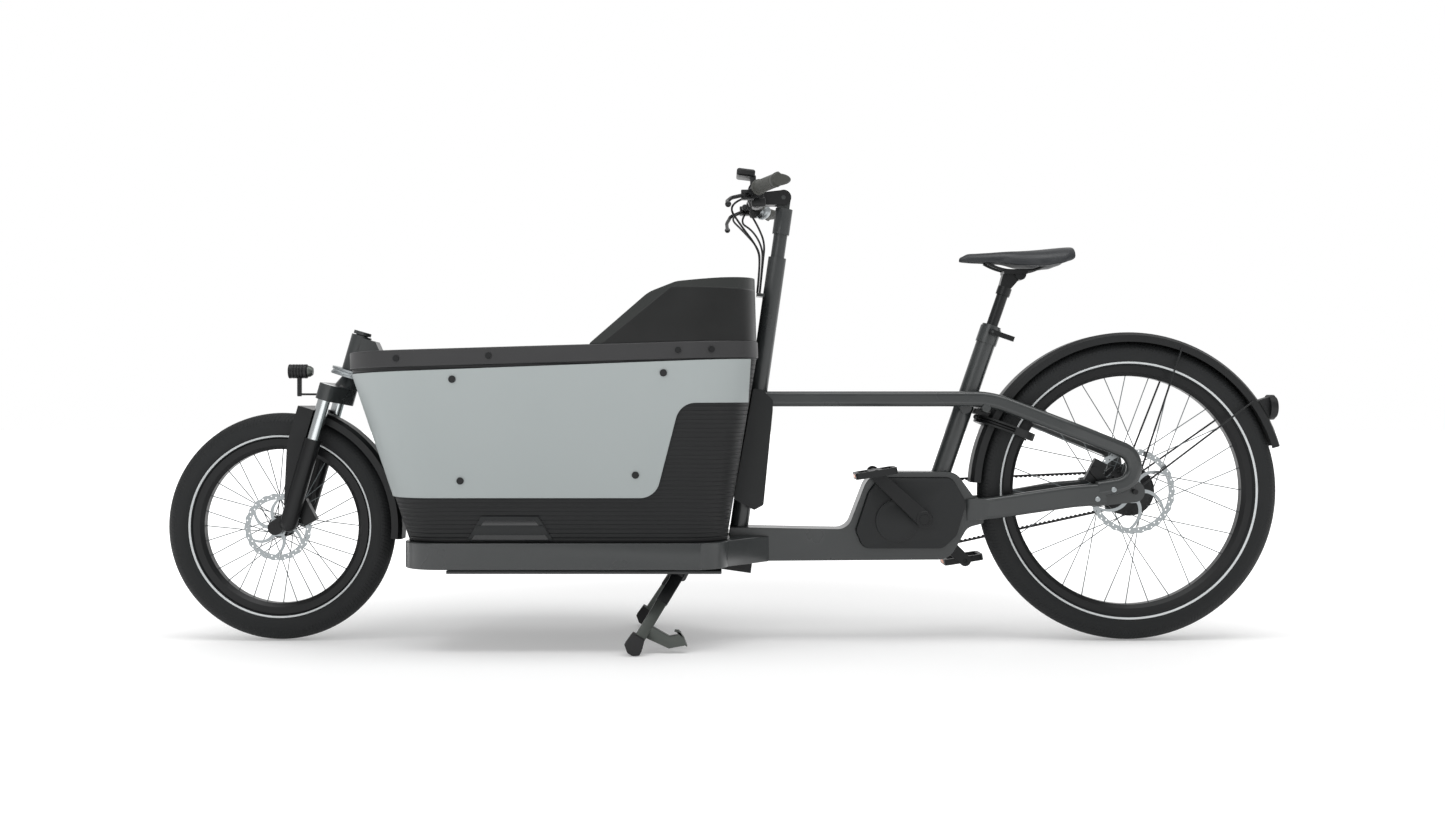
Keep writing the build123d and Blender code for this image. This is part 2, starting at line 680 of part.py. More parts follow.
def side_panels_piece():
    """Cover panels: each wraps one side and half of the front, cut away at the lower rear."""
    shell = box_body(panel_thickness) - box_body(0)
    face = [(box_front_x + 200, panel_low), (panel_step_x, panel_low), (panel_shoulder_x, panel_shoulder),
            (box_rear_x - 49, panel_shoulder + 1),
            (box_top_rear_x + 14, box_rear_height - 3), (box_front_x + 200, box_front_height - 13)]
    rounding = [0, 45, 45, 0, 0, 0]
    outer_wrap = recess_half + 6
    window = side_prism(face, outer_wrap, box_top_width, rounding)
    rear_open = box_between(box_top_rear_x - 50, box_rear_x + 60, 0, box_floor_width / 2 - 40,
                            box_floor_height, box_rear_height + 20)
    left = (shell & window) - rear_open
    return both_sides(left)


side_panels = side_panels_piece()


def seated(head, surface):
    """Screw head moved inwards until it sits in its surface."""
    for step in range(3):
        head = Pos(0, -surface.distance_to(head), 0) * head
    return Pos(0, -0.4, 0) * head - surface


def panel_bolt(x, z):
    """Screw head on a cover panel, square to the leaning side of the box."""
    tilt = degrees(atan2((box_top_width - box_floor_width) / 2, box_front_height - box_floor_height))
    head = Rot(-90 - tilt, 0, 0) * Cylinder(bolt_head_radius, bolt_head_height)
    return seated(Pos(x, box_half_at(z) + 20, z) * head, side_panels[0])


def rim_bolt(share):
    """Screw head on the rim, turned with it where the corner has begun."""
    x = box_top_front_x + (box_top_rear_x - box_top_front_x) * share
    z = box_front_height + (box_rear_height - box_front_height) * share + rim_height / 2
    front_past = x - box_top_front_x + box_corner_top
    rear_past = box_top_rear_x + box_corner_top - x
    past = max(front_past, 0) - max(rear_past, 0)
    turn = degrees(asin(past / (box_corner_top + rim_overhang)))
    head = Rot(0, 0, -turn) * Rot(-90, 0, 0) * Cylinder(rim_bolt_radius, bolt_head_height)
    return seated(Pos(x, box_top_width / 2 + 20, z) * head, cargo_rim)


tub_bolts = []
for x, z in ((595, 617), (130, 631), (585, 391), (194, 404)):
    tub_bolts += both_sides(panel_bolt(box_rear_x + 10 + x, z))
for share in (0.14, 0.36, 0.81, 0.89):
    tub_bolts += both_sides(rim_bolt(share))


def backrest_piece():
    """Raised wall round the back of the box, falling away along both sides."""
    low, high = rim_height, rim_height + backrest_height
    band = rim_band(low, high, 0, -backrest_thickness)
    foot = box_rear_height + rim_height
    top = foot + backrest_height - 24
    tip = box_top_rear_x + backrest_length
    face = [(box_top_rear_x - 20, foot - 30), (tip + 6, foot - 30), (tip, foot - 8), (tip - 129, top - 24),
            (tip - 190, top), (box_top_rear_x + 80, top + 10), (box_top_rear_x - 20, top + 18)]
    window = side_prism(face, -box_top_width, box_top_width, [0, 0, 10, 80, 60, 0, 0])
    return (band & window) - mast_clear - cargo_rim


backrest = backrest_piece()


def platform_piece():
    """Cargo platform: a skirt round a thin deck, skid rails below, tapering to the beam."""
    half = platform_width / 2
    length = box_front_x + 5 - box_rear_x + 4
    middle = (box_front_x + 5 + box_rear_x - 4) / 2
    plan = Pos(middle, 0) * RectangleRounded(length, 2 * half, 90)
    taper = Polyline((middle, -half), (box_rear_x + 60, -half), (box_rear_x - 100, -beam_width / 2),
                     (box_rear_x - 100, beam_width / 2), (box_rear_x + 60, half), (middle, half), close=True)
    plan += make_face(taper)
    skirt = offset(plan, amount=-platform_wall, kind=Kind.INTERSECTION)
    height = platform_top - platform_bottom
    body = Pos(0, 0, platform_bottom) * extrude(plan, amount=height)
    body -= Pos(0, 0, platform_bottom - 1) * extrude(skirt, amount=height - platform_top_plate + 1)
    for side in (-1, 1):
        centre = side * 150
        body += box_between(box_rear_x + 12, box_front_x - 90, centre - 20, centre + 20,
                            platform_bottom - skid_drop, platform_bottom - skid_drop + 8)
        body += box_between(box_rear_x + 12, box_front_x - 90, centre - 4, centre + 4,
                            platform_bottom - skid_drop, platform_top)
    cross = stand_x
    body += box_between(cross - 40, cross + 40, -160, 160, platform_bottom - 4, platform_bottom)
    body -= box_between(wheel_clear_x - post_arc - post_depth, box_front_x + 50, -recess_half, recess_half,
                        platform_bottom - 5, platform_top + 5)
    body -= box_between(box_rear_x - 150, box_rear_x + 40, -beam_width / 2, beam_width / 2,
                        platform_bottom - 5, platform_top - platform_top_plate)
    body -= box_between(box_rear_x - 150, box_rear_x - 2, -beam_width / 2, beam_width / 2,
                        platform_bottom - 5, platform_top + 50)
    return body - beam_solid


stand_x = front_x - stand_pivot_behind_axle
cage_half = beam_width / 2

cage_outer = [(box_rear_x + 38, platform_bottom), (box_rear_x + 38, platform_top - platform_top_plate),
              (box_rear_x - 7, platform_top - platform_top_plate), (box_rear_x - 7, beam_top + 3),
              (crank_x + 176, beam_top - 2), (crank_x + 124, crank_z + 110),
              (crank_x - 80, crank_z + 110), (crank_x - 122, crank_z + 52), (crank_x - 146, crank_z + 46),
              (crank_x - 146, crank_z - 12), (crank_x - 108, crank_z - 22), (crank_x - 64, crank_z - 98),
              (box_rear_x - 60, platform_bottom)]
cage_rounding = [0, 0, 0, 0, 35, 55, 38, 18, 0, 0, 28, 45, 0]
cage_inner = [(crank_x + 158, crank_z - 28), (crank_x + 128, crank_z + 62), (crank_x + 102, crank_z + 96),
              (crank_x - 70, crank_z + 96), (crank_x - 100, crank_z + 44), (crank_x - 100, crank_z + 26),
              (crank_x - 80, crank_z - 40), (crank_x - 48, crank_z - 70), (crank_x + 140, crank_z - 70)]
cage_inner_rounding = [14, 40, 20, 24, 10, 10, 20, 20, 24]

beam_solid = side_prism(cage_outer, -cage_half, cage_half, cage_rounding)
cage_void = side_prism(cage_inner, -cage_half - 1, cage_half + 1, cage_inner_rounding)
column_bore = mast_frame * (Cylinder(column_radius + 1.5, 300))
tyre_room = disc(rear_x, rear_z, rear_tyre_radius + 6, -39, 39)
centre_beam = beam_solid - cage_void - column_bore - tyre_room
cargo_platform = platform_piece() - column_bore


def cage_inset(low, high, inset):
    """Slab with the motor opening's outline, made smaller all round."""
    face = offset(outline(cage_inner, cage_inner_rounding), amount=-inset)
    return extrude(side_plane(high) * face, amount=high - low)


motor_unit = side_prism(cage_inner, -cage_half + 1, cage_half - 1, cage_inner_rounding)
motor_unit -= disc(crank_x, crank_z, crank_axle_radius + running_fit, -cage_half - 1, cage_half + 1)
axle_hole = disc(crank_x, crank_z, crank_axle_radius + 4, -100, 100)
cover_left = cage_inset(cage_half - 1, cage_half + 17, 0.5)
cover_left += disc(crank_x + 62, crank_z - 4, 50, cage_half + 16, cage_half + 24)
cover_right = cage_inset(-cage_half - 3, -cage_half + 1, 0.5)
motor_covers = [cover_left - axle_hole, cover_right - axle_hole]

mast_tube = mast_frame * (Pos(0, 0, mast_length / 2) * Cylinder(mast_radius, mast_length))
mast_hollow = mast_frame * (Pos(0, 0, mast_length / 2) * Cylinder(mast_bore, mast_length + 200))
steering_mast = mast_tube - mast_hollow - beam_solid - cargo_platform
for place in (34, mast_length - 8):
    race = Cylinder(mast_bore, 14) - Cylinder(column_radius + running_fit, 16)
    steering_bearings.append(mast_frame * (Pos(0, 0, place) * race))

battery_top = 600.0
battery_low = 316.0
battery_half = 50.0
battery_front_gap = 6.0
battery_face = [(box_rear_at(battery_low) - battery_front_gap, battery_low + 22),
                (box_rear_at(battery_top) - battery_front_gap, battery_top),
                (mast_foot.X - 58, battery_top - 4), (mast_foot.X - 82, battery_top - 28),
                (mast_foot.X - 82, battery_top - 52), (mast_foot.X - 60, battery_low + 8),
                (mast_foot.X - 38, battery_low - 4)]
battery_case = side_prism(battery_face, -battery_half, battery_half, [4, 4, 6, 8, 8, 8, 6])
battery_case -= mast_frame * (Pos(0, 0, 350) * Cylinder(mast_radius, 900))

drum_radius = 36.0
drum_low = -78.0
drum_top = -68.0
column_low = drum_top
column_tube = mast_frame * (Pos(0, 0, (column_low + column_top) / 2) * Cylinder(column_radius, column_top - column_low))
column_tube += mast_frame * (Pos(0, 0, (drum_low + drum_top) / 2) * Cylinder(drum_radius, drum_top - drum_low))
housing = Pos(0, 0, -72) * Box(84, beam_width - 4, 22) - Pos(0, 0, -72) * Cylinder(drum_radius + 2, 14)
housing -= Cylinder(column_radius + 1.5, 300)
pulley_housing = mast_frame * housing - beam_solid - cargo_platform

# ---------------------------------------------------------------- twin tubes and stays
tube_section = RectangleRounded(side_tube_wide, side_tube_tall, 11)
loop_x, loop_z = rear_x + 49.5, rear_z + 58.5
upper_slope = radians(21.5)
lower_slope = radians(8.8)
loop_back = loop_x - loop_radius


def upper_line(x):
    """Height of the tube's middle on its way down to the rear loop."""
    return loop_z + loop_radius / cos(upper_slope) + (x - loop_x) * tan(upper_slope)


def lower_line(x):
    """Height of the loop's lower leg."""
    return loop_z - loop_radius / cos(lower_slope) - (x - loop_x) * tan(lower_slope)


mast_side_x = mast_foot.X - 46
seat_bend_x = loop_x + (side_tube_height - upper_line(loop_x)) / tan(upper_slope)
tube_points = [(mast_side_x, side_tube_front_side, side_tube_height),
               (seat_bend_x, side_tube_seat_side, side_tube_height),
               (loop_x + 105, side_tube_rear_side, upper_line(loop_x + 105)),
               (loop_back, side_tube_rear_side, upper_line(loop_back)),
               (loop_back, side_tube_rear_side, lower_line(loop_back)),
               (loop_x + 40, side_tube_rear_side, lower_line(loop_x + 40))]
side_tube = swept(tube_points, [190, 190, loop_radius - 1, loop_radius - 1], tube_section) - mast_tube
tube_run = Vector(*tube_points[1]) - Vector(*tube_points[0])
channel_start = Plane(origin=tube_points[0], x_dir=(0, 1, 0), z_dir=tube_run)
tube_channel = extrude(channel_start * RectangleRounded(side_tube_wide + 1, side_tube_tall + 1, 11.5), amount=80)
battery_case = battery_case - tube_channel - mirrored(tube_channel)
stay_front_x = crank_x - 106
stay_points = [(stay_front_x, 43, crank_z + 20), (stay_front_x - 60, 60, crank_z + 26),
               (loop_x + 100, side_tube_rear_side, lower_line(loop_x + 100) - 8),
               (loop_x + 24, side_tube_rear_side, lower_line(loop_x + 24) - 14)]
stay = swept(stay_points, [60, 160], RectangleRounded(stay_wide, stay_tall, 9))
flare = make_face(Polyline((stay_front_x + 9, 42.5), (stay_front_x + 9, 120), (stay_front_x - 55, 120),
                           (stay_front_x - 55, 75), close=True))
stay -= Pos(0, 0, crank_z - 100) * extrude(flare, amount=220)
chain_stay = stay - side_tube - beam_solid
plate_inner = rear_hub_half + hub_gap
plate_outer = side_tube_rear_side - side_tube_wide / 2
plate_face = make_hull((Pos(rear_x, rear_z) * Circle(25) + Pos(loop_x + 8, loop_z - 62) * Circle(16)
                        + Pos(loop_x + 46, loop_z - 78) * Circle(16)).edges())
dropout_plate = extrude(side_plane(plate_outer) * plate_face, amount=plate_outer - plate_inner)
dropout_plate = dropout_plate - disc(rear_x, rear_z, rear_axle_radius, 0, 200) - side_tube
side_tubes = both_sides(side_tube)
dropout_plate -= chain_stay
chain_stays = both_sides(chain_stay) + both_sides(dropout_plate)

seat_up = Vector(-sin(radians(seat_angle)), 0, cos(radians(seat_angle)))
seat_foot = Vector(crank_x - 50, 0, crank_z + 104)
seat_frame = Plane(origin=seat_foot, x_dir=(cos(radians(seat_angle)), 0, sin(radians(seat_angle))),
                   z_dir=seat_up).location
seat_tube = seat_frame * (Pos(0, 0, seat_tube_length / 2) * Cylinder(seat_tube_radius, seat_tube_length + 10))
seat_tube += seat_frame * (Pos(0, 0, seat_tube_length - 20) * Cylinder(seat_tube_radius + 2.5, 40))
seat_tube += seat_frame * (Pos(0, 0, 168) * Rot(90, 0, 0) * Cylinder(14, 2 * side_tube_seat_side - side_tube_wide - 4))
seat_tube -= seat_frame * (Pos(0, 0, seat_tube_length) * Cylinder(seatpost_radius + running_fit, 680))
seat_tube = seat_tube - beam_solid - cage_void - side_tubes[0] - side_tubes[1]

# ================================================================ rear fender, lamps and lock

rear_fender_shell = fender(rear_x, rear_z, rear_tyre_radius, rear_fender_width, 3, 163.5)
rear_fender = [rear_fender_shell]
for angle in (110, 144):
    reach = rear_tyre_radius + fender_gap - 12
    end = (rear_x + reach * cos(radians(angle)), rear_fender_width / 2 + 1.5, rear_z + reach * sin(radians(angle)))
    start = (rear_x + 18 * cos(radians(angle)), plate_inner + 4, rear_z + 18 * sin(radians(angle)))
    rear_fender += both_sides(rod(start, end, 2.2) - dropout_plate - rear_fender_shell)

lamp_angle = radians(148)
lamp_z = rear_z + (rear_tyre_radius + fender_gap) * sin(lamp_angle)
lamp_back = -overall_length / 2
fender_outer = rear_tyre_radius + fender_gap + fender_thickness
lamp_neck = [(lamp_back + 46, lamp_z + 16), (lamp_back + 14, lamp_z + 26), (lamp_back + 14, lamp_z - 26),
             (lamp_back + 26, lamp_z - 28)]
lamp_body = side_prism(lamp_neck, -17, 17, 3) + Pos(lamp_back + 12, 0, lamp_z) * Rot(0, 90, 0) * Cylinder(30, 14)
lamp_body -= disc(rear_x, rear_z, fender_outer, -40, 40)
lamp_lens = Pos(lamp_back + 2.5, 0, lamp_z) * Rot(0, 90, 0) * Cylinder(25, 5)
tail_light = [lamp_body, lamp_lens]

lock_radius = 69.0
lock_wall = 8.0
lock_reach = 325.0
lock_tilt = 20.0
lock_centre = (rear_x + lock_reach * cos(radians(27)), 0, rear_z + lock_reach * sin(radians(27)))
lock_frame = Plane(origin=lock_centre, x_dir=(cos(radians(lock_tilt)), 0, sin(radians(lock_tilt))),
                   z_dir=(-sin(radians(lock_tilt)), 0, cos(radians(lock_tilt)))).location
lock_bolt_radius = 4.5


def sector(inner, outer, height, start, end):
    """Flat ring sector about Z, from one angle to another."""
    face = Polyline((inner, -height / 2), (outer, -height / 2), (outer, height / 2), (inner, height / 2), close=True)
    ring = revolve(Plane.XZ * make_face(face), Axis.Z, revolution_arc=end - start)
    return Rot(0, 0, start) * ring


def lock_pieces():
    """Ring lock: a horseshoe housing round the tyre and the curved bolt that closes it."""
    housing_ring = sector(lock_radius - lock_wall, lock_radius + lock_wall, 18, -148, 148)
    channel = Torus(lock_radius, lock_bolt_radius + running_fit + 0.2)
    handle_slot = sector(lock_radius, lock_radius + lock_wall + 2, 9, 12, 98)
    pad = Pos(lock_radius, 0, 14) * Box(34, 60, 12)
    housing = housing_ring + pad - channel - handle_slot
    track = Torus(lock_radius, lock_bolt_radius)
    keep = sector(lock_radius - 10, lock_radius + 10, 14, 22, 147)
    handle = Rot(0, 0, 26) * Pos(lock_radius + 10, 0, 0) * Rot(0, 90, 0) * Cylinder(3.2, 22)
    knob = Rot(0, 0, 26) * Pos(lock_radius + 22, 0, 0) * Sphere(6)
    return lock_frame * housing, lock_frame * ((track & keep) + handle + knob)


ring_lock, lock_bolt = lock_pieces()
bridge_at = lock_frame * Pos(lock_radius, 0, 27)
bridge = disc(bridge_at.position.X, bridge_at.position.Z, 10, -side_tube_seat_side - 14, side_tube_seat_side + 14)
bridge = bridge - side_tubes[0] - side_tubes[1]
ring_lock -= bridge
side_tubes.append(bridge)

lamp_x = steer_foot.X + 6
head_z = on_fork(crown_top, stanchion_forward + 20).Z + 12


def headlight_pieces():
    """Headlamp on a bent strip that is screwed to the front of the crown."""
    foot = on_fork((crown_bottom + crown_top) / 2, stanchion_forward + stanchion_radius + 6)
    strip = side_prism([(foot.X, foot.Z + 2), (lamp_x - 4, foot.Z - 16), (lamp_x + 4, foot.Z - 16),
                        (lamp_x + 4, head_z + 2), (lamp_x, head_z + 2), (lamp_x, foot.Z - 12),
                        (foot.X, foot.Z + 6)], -9, 9)
    body = Pos(lamp_x + 8, 0, head_z + 15) * Rot(0, 90, 0) * Cylinder(17, 40)
    rear_cap = Pos(lamp_x - 17, 0, head_z + 15) * Rot(0, 90, 0) * Cylinder(13, 10)
    lens = Pos(lamp_x + 29.5, 0, head_z + 15) * Rot(0, 90, 0) * Cylinder(15, 3)
    crown_solid = fork_crown + stanchions[0] + stanchions[1]
    return [(strip - crown_solid) + body + rear_cap, lens]


headlight = headlight_pieces()

# ================================================================ kickstand

bracket_side = 100.0


def stand_bracket_piece():
    """Two lugs under the platform that hold the stand's cross tube."""
    top = platform_bottom - 4
    lugs = []
    for side in (-bracket_side, bracket_side):
        face = [(stand_x - 34, top), (stand_x - 15, stand_pivot_height - 16),
                (stand_x + 15, stand_pivot_height - 16), (stand_x + 34, top)]
        lug = side_prism(face, side - 5, side + 5, [0, 8, 8, 0])
        lugs.append(lug - disc(stand_x, stand_pivot_height, stand_leg_radius + running_fit, side - 6, side + 6))
    return lugs


stand_bracket = stand_bracket_piece()
foot_x = stand_x + stand_foot_forward
foot_z = foot_radius - 1.0


def stand_legs_piece():
    """Two-legged stand: a cross tube, two splayed legs with feet, and a tread hook on the left."""
    tube = disc(stand_x, stand_pivot_height, stand_leg_radius, -stand_leg_side - 8, stand_leg_side + 8)
    stand = tube
    for side in (-1, 1):
        top = (stand_x, side * stand_leg_side, stand_pivot_height)
        stand += rod(top, (foot_x, side * stand_foot_side, foot_z), stand_leg_radius - 1)
        low, high = side * stand_foot_side - 17, side * stand_foot_side + 17
        stand += disc(foot_x, foot_z, foot_radius, low, high)
    hook = [(foot_x - 26, 54), (foot_x - 78, 14), (foot_x - 118, 22), (foot_x - 108, 44), (foot_x - 94, 57),
            (foot_x - 92, 53), (foot_x - 98, 42), (foot_x - 76, 44), (foot_x - 44, 70)]
    hook_side = stand_foot_side - 34
    stand += side_prism(hook, hook_side - 12, hook_side + 12)
    return stand - box_between(foot_x - 200, foot_x + 60, -300, 300, -20, 0)


stand_legs = stand_legs_piece()

# ================================================================ saddle

post_low = 150.0
post_top = 470.0


def seatpost_piece():
    """Post with a two-bolt head that grips the saddle rails."""
    post = Pos(0, 0, (post_low + post_top) / 2) * Cylinder(seatpost_radius, post_top - post_low)
    head = seat_frame * (post + Pos(0, 0, post_top - 8) * Cylinder(17, 20))
    top = seat_foot + seat_up * (post_top + 6)
    cradle = box_between(top.X - 48, top.X + 8, -25, 25, rail_height - 7, rail_height + 3)
    knuckle = [(top.X - 10, top.Z - 8), (top.X + 16, top.Z - 2), (top.X + 8, rail_height - 6), (top.X - 42, rail_height - 6)]
    cradle += side_prism(knuckle, -13, 13, 4) + disc(top.X - 33, rail_height - 8, 13, -19, 19)
    return head + cradle


rail_height = saddle_height - 38
saddle_nose_x = seat_foot.X - 44
saddle_back_x = saddle_nose_x - saddle_length


def saddle_pieces():
    """Saddle body, wide at the back, and its two rails."""
    plan = make_hull((Pos(saddle_nose_x - 20, 0) * Circle(20) + Pos(saddle_nose_x - 110, 0) * Circle(30)).edges())
    plan += make_hull((Pos(saddle_nose_x - 100, 0) * Circle(28)
                       + Pos(saddle_back_x + 50, saddle_width / 2 - 45) * Circle(45)
                       + Pos(saddle_back_x + 50, 45 - saddle_width / 2) * Circle(45)).edges())
    face = [(saddle_nose_x, saddle_height - 12), (saddle_nose_x, saddle_height), (saddle_nose_x - 120, saddle_height),
            (saddle_back_x + 30, saddle_height + 22), (saddle_back_x, saddle_height + 20),
            (saddle_back_x, saddle_height - 14), (saddle_nose_x - 150, saddle_height - 28)]
    slab = Pos(0, 0, saddle_height - 40) * extrude(plan, amount=80)
    cushion = slab & side_prism(face, -saddle_width, saddle_width, [4, 6, 60, 30, 8, 10, 40])
    rails = []
    for side in (-20, 20):
        points = [(saddle_nose_x - 70, side, saddle_height - 22), (saddle_nose_x - 110, side, rail_height),
                  (saddle_back_x + 70, side, rail_height), (saddle_back_x + 35, side, saddle_height - 19)]
        rails.append(swept(points, [20, 20], Circle(3.5)) - cushion)
    return [cushion] + rails


saddle = saddle_pieces()
seatpost = seatpost_piece() - saddle[0] - saddle[1] - saddle[2]
lever_along = seat_tube_length - 12.0
lever_side = seat_tube_radius + 12.0
lever_pin = Pos(0, lever_side - 4, lever_along) * Rot(90, 0, 0) * Cylinder(3, 24)
lever_boss = Pos(0, seat_tube_radius, lever_along) * Rot(90, 0, 0) * Cylinder(7, 8)
post_hole = Pos(0, 0, lever_along) * Cylinder(seatpost_radius + running_fit, 60)
seat_tube += seat_frame * (lever_boss + lever_pin - post_hole)
seat_lever_piece = Pos(-24, lever_side, lever_along) * Box(62, 6, 12)
seat_lever_piece += Pos(0, lever_side, lever_along) * Rot(90, 0, 0) * Cylinder(7, 14)
seat_lever_piece -= Pos(0, lever_side, lever_along) * Rot(90, 0, 0) * Cylinder(3 + running_fit, 30)
seat_lever = seat_frame * seat_lever_piece

# ================================================================ stem, handlebar and controls

pivot_along = column_top + 78.0
pivot = on_mast(pivot_along, 6)
bar_x, bar_z = pivot.X + bar_forward, pivot.Z - 3.0
ear_half = 20.0
arm_half = 11.5                 # half width of the tongue between the stem's cheeks


def column_head():
    """Clamp on the top of the steering column, with the tongue and pin of the stem's pivot."""
    sleeve = mast_frame * (Pos(0, 0, column_top + 22) * Cylinder(20.5, 62))
    neck = mast_frame * (Pos(3, 0, column_top + 62) * Box(30, 2 * arm_half, 34))
    tongue = disc(pivot.X, pivot.Z, 17, -arm_half, arm_half)
    return sleeve + neck + tongue + disc(pivot.X, pivot.Z, 5, -ear_half, ear_half)


column_tube += column_head()


def bar_point(side, forward, rise):
    return (bar_x + forward, side, bar_z + rise)


bar_points = [bar_point(-bar_half_width, 8 - bar_sweep, 3), bar_point(-165, 8, 3), bar_point(-50, 0, 0),
              bar_point(50, 0, 0), bar_point(165, 8, 3), bar_point(bar_half_width, 8 - bar_sweep, 3)]


def handlebar_pieces():
    """Swept bar and the stem arm that clamps it."""
    bar = swept(bar_points, [80, 100, 100, 80], Circle(bar_radius), (0, 0, 1))
    bar += disc(bar_x, bar_z, bar_clamp_radius, -28, 28)
    arm = side_prism([(pivot.X, pivot.Z - 18), (bar_x, bar_z - 14), (bar_x, bar_z + 14), (pivot.X, pivot.Z + 18)],
                     -ear_half, ear_half)
    arm += disc(pivot.X, pivot.Z, 18.5, -ear_half, ear_half)
    arm -= disc(pivot.X, pivot.Z, 27, -arm_half - moving_gap, arm_half + moving_gap)
    arm -= disc(pivot.X, pivot.Z, 5 + running_fit, -20, 20)
    arm += disc(bar_x, bar_z, bar_clamp_radius + 6, -22, 22)
    return [bar, arm - disc(bar_x, bar_z, bar_clamp_radius, -60, 60)]


handlebar = handlebar_pieces()
grip_run = Vector(*bar_points[5]) - Vector(*bar_points[4])
grip_start = Vector(*bar_points[5]) - grip_run.normalized() * (grip_length - 3)
grip_end = grip_start + grip_run.normalized() * grip_length
grip_core = rod(grip_start - grip_run.normalized(), Vector(*bar_points[5]), bar_radius)
grip = rod(grip_start, grip_end, grip_radius) - grip_core
grips = both_sides(grip)

clamp_side = 138.0
lever_pivot = (bar_x + 31, clamp_side + 12, bar_z - 10)


def lever_mount():
    """Lever clamp round the bar, with the fork that holds the brake lever's pin."""
    centre = bar_point(clamp_side, 6, 2.4)
    body = disc(centre[0], centre[2], bar_radius + 5, clamp_side - 8, clamp_side + 8)
    body += box_between(centre[0], lever_pivot[0] + 4, clamp_side - 9, clamp_side + 20,
                        lever_pivot[2] - 9, lever_pivot[2] + 9)
    body -= box_between(lever_pivot[0] - 12, lever_pivot[0] + 20, clamp_side - 2, clamp_side + 30,
                        lever_pivot[2] - 6.6, lever_pivot[2] + 5 + moving_gap)
    body -= Pos(*lever_pivot) * Cylinder(3 + running_fit, 40)
    return body - handlebar[0]


def brake_lever_piece():
    """Brake lever: an eye on its pin and a blade that curves outwards, ending in a ball."""
    x, y, z = lever_pivot
    blade = swept([(x + 2, y + 2, z), (x + 30, y + 22, z - 9), (x + 40, y + 60, z - 22), (x + 38, y + lever_length, z - 34)],
                  [20, 40], Circle(4.5))
    eye = Pos(x, y, z) * Cylinder(7, 10) + Pos(x, y, z) * Cylinder(3, 18)
    return eye + blade + Pos(x + 38, y + lever_length, z - 34) * Sphere(7)


def display_piece():
    """Display on a foot that is clamped to the bar beside the stem."""
    plate = Pos(bar_x + 26, 0, bar_z + 60) * Rot(0, -7, 0) * Box(44, 84, 17)
    foot = box_between(bar_x + 2, bar_x + 16, 25, 37, bar_z + 4, bar_z + 55)
    foot += disc(bar_x, bar_z, bar_radius + 9, 25, 37)
    return plate + foot - handlebar[0] - handlebar[1]


def bell_piece():
    """Bell: a clamp on the bar and a dome below it."""
    centre = bar_point(-98, 4, 1.3)
    clamp = disc(centre[0], centre[2], bar_radius + 4, -103, -93)
    dome = Pos(centre[0] - 26, -98, centre[2] - 22) * Rot(0, -135, 0) * (Sphere(21) & Pos(0, 0, 11) * Box(50, 50, 22))
    arm = rod(centre, (centre[0] - 26, -98, centre[2] - 22), 5)
    return clamp + dome + arm - handlebar[0]


bar_controls = both_sides(lever_mount()) + [display_piece(), bell_piece()]
brake_lever_left = brake_lever_piece()
brake_lever_right = mirrored(brake_lever_left)

# ================================================================ cables


def cable(points, radius):
    """Tube along straight runs joined by the largest arcs that the runs allow."""
    bends = []
    for before, here, after in zip(points, points[1:], points[2:]):
        into, out = Vector(*here) - Vector(*before), Vector(*after) - Vector(*here)
        turn = radians(into.get_angle(out))
        bends.append(0.45 * min(into.length, out.length) / tan(turn / 2))
    path = FilletPolyline(*points, radius=bends)
    tube = sweep(Plane(origin=path @ 0, z_dir=path % 0) * Circle(radius), path=path)
    ratio = tube.volume / (pi * radius ** 2 * path.length)
    print("cable", round(path.length), "mm, radii", [round(bend) for bend in bends], "volume ratio", round(ratio, 4))
    return tube


clip = on_mast(580, mast_radius + 8)
cable_starts = [[(bar_x + 30, clamp_side - 7, bar_z - 14), (bar_x + 72, 100, bar_z - 24), (bar_x + 38, 50, bar_z - 68),
                 (bar_x - 2, 20, bar_z - 116)],
                [(bar_x + 30, 7 - clamp_side, bar_z - 14), (bar_x + 68, -98, bar_z - 28), (bar_x + 30, -48, bar_z - 71),
                 (bar_x - 6, -20, bar_z - 115)],
                [(bar_x + 20, 7 - clamp_side, bar_z - 11), (bar_x + 42, -92, bar_z - 42), (bar_x + 8, -42, bar_z - 69),
                 (bar_x - 14, -12, bar_z - 112)],
                [(bar_x + 13, 35, bar_z - 6), (bar_x + 18, 48, bar_z - 36), (bar_x - 3, 32, bar_z - 68),
                 (bar_x - 20, 11, bar_z - 106)]]
cable_ends = [(6, 15), (6, -15), (0, -5), (0, 5)]
handlebar_cables = []
for start, (fore, side) in zip(cable_starts, cable_ends):
    end = [(clip.X - 7 + fore, side, clip.Z + 72), (clip.X + fore, side, clip.Z + 1)]
    handlebar_cables.append(cable(start + end, cable_radius) - bar_controls)

cable_clip = mast_frame * (Pos(mast_radius + 6, 0, 575) * Box(19, 44, 8))
steering_mast += cable_clip - mast_frame * (Pos(0, 0, 575) * Cylinder(mast_radius, 20))

steering_cables = []
cable_line = (post_arc + post_arc + post_depth) / 2
cable_height = platform_bottom - 4 - cable_radius
route = [(mast_foot.X + 46, drum_radius - 1, cable_height - 8), (mast_foot.X + 110, 31, cable_height),
         (wheel_clear_x - cable_line - 50, 31, cable_height)]
for angle in (191, 172, 153, 135):
    route.append((wheel_clear_x + cable_line * cos(radians(angle)), 31,
                  wheel_clear_z + cable_line * sin(radians(angle))))
pulley_edge = on_fork((pulley_bottom + head_tube_bottom) / 2, -24, steering_pulley_radius + 5)
route.append((pulley_edge.X, pulley_edge.Y, pulley_edge.Z))
steering_cable = cable(route, cable_radius)
steering_cables = both_sides(steering_cable)
pulley_housing = pulley_housing - steering_cables[0] - steering_cables[1]

# ================================================================ files

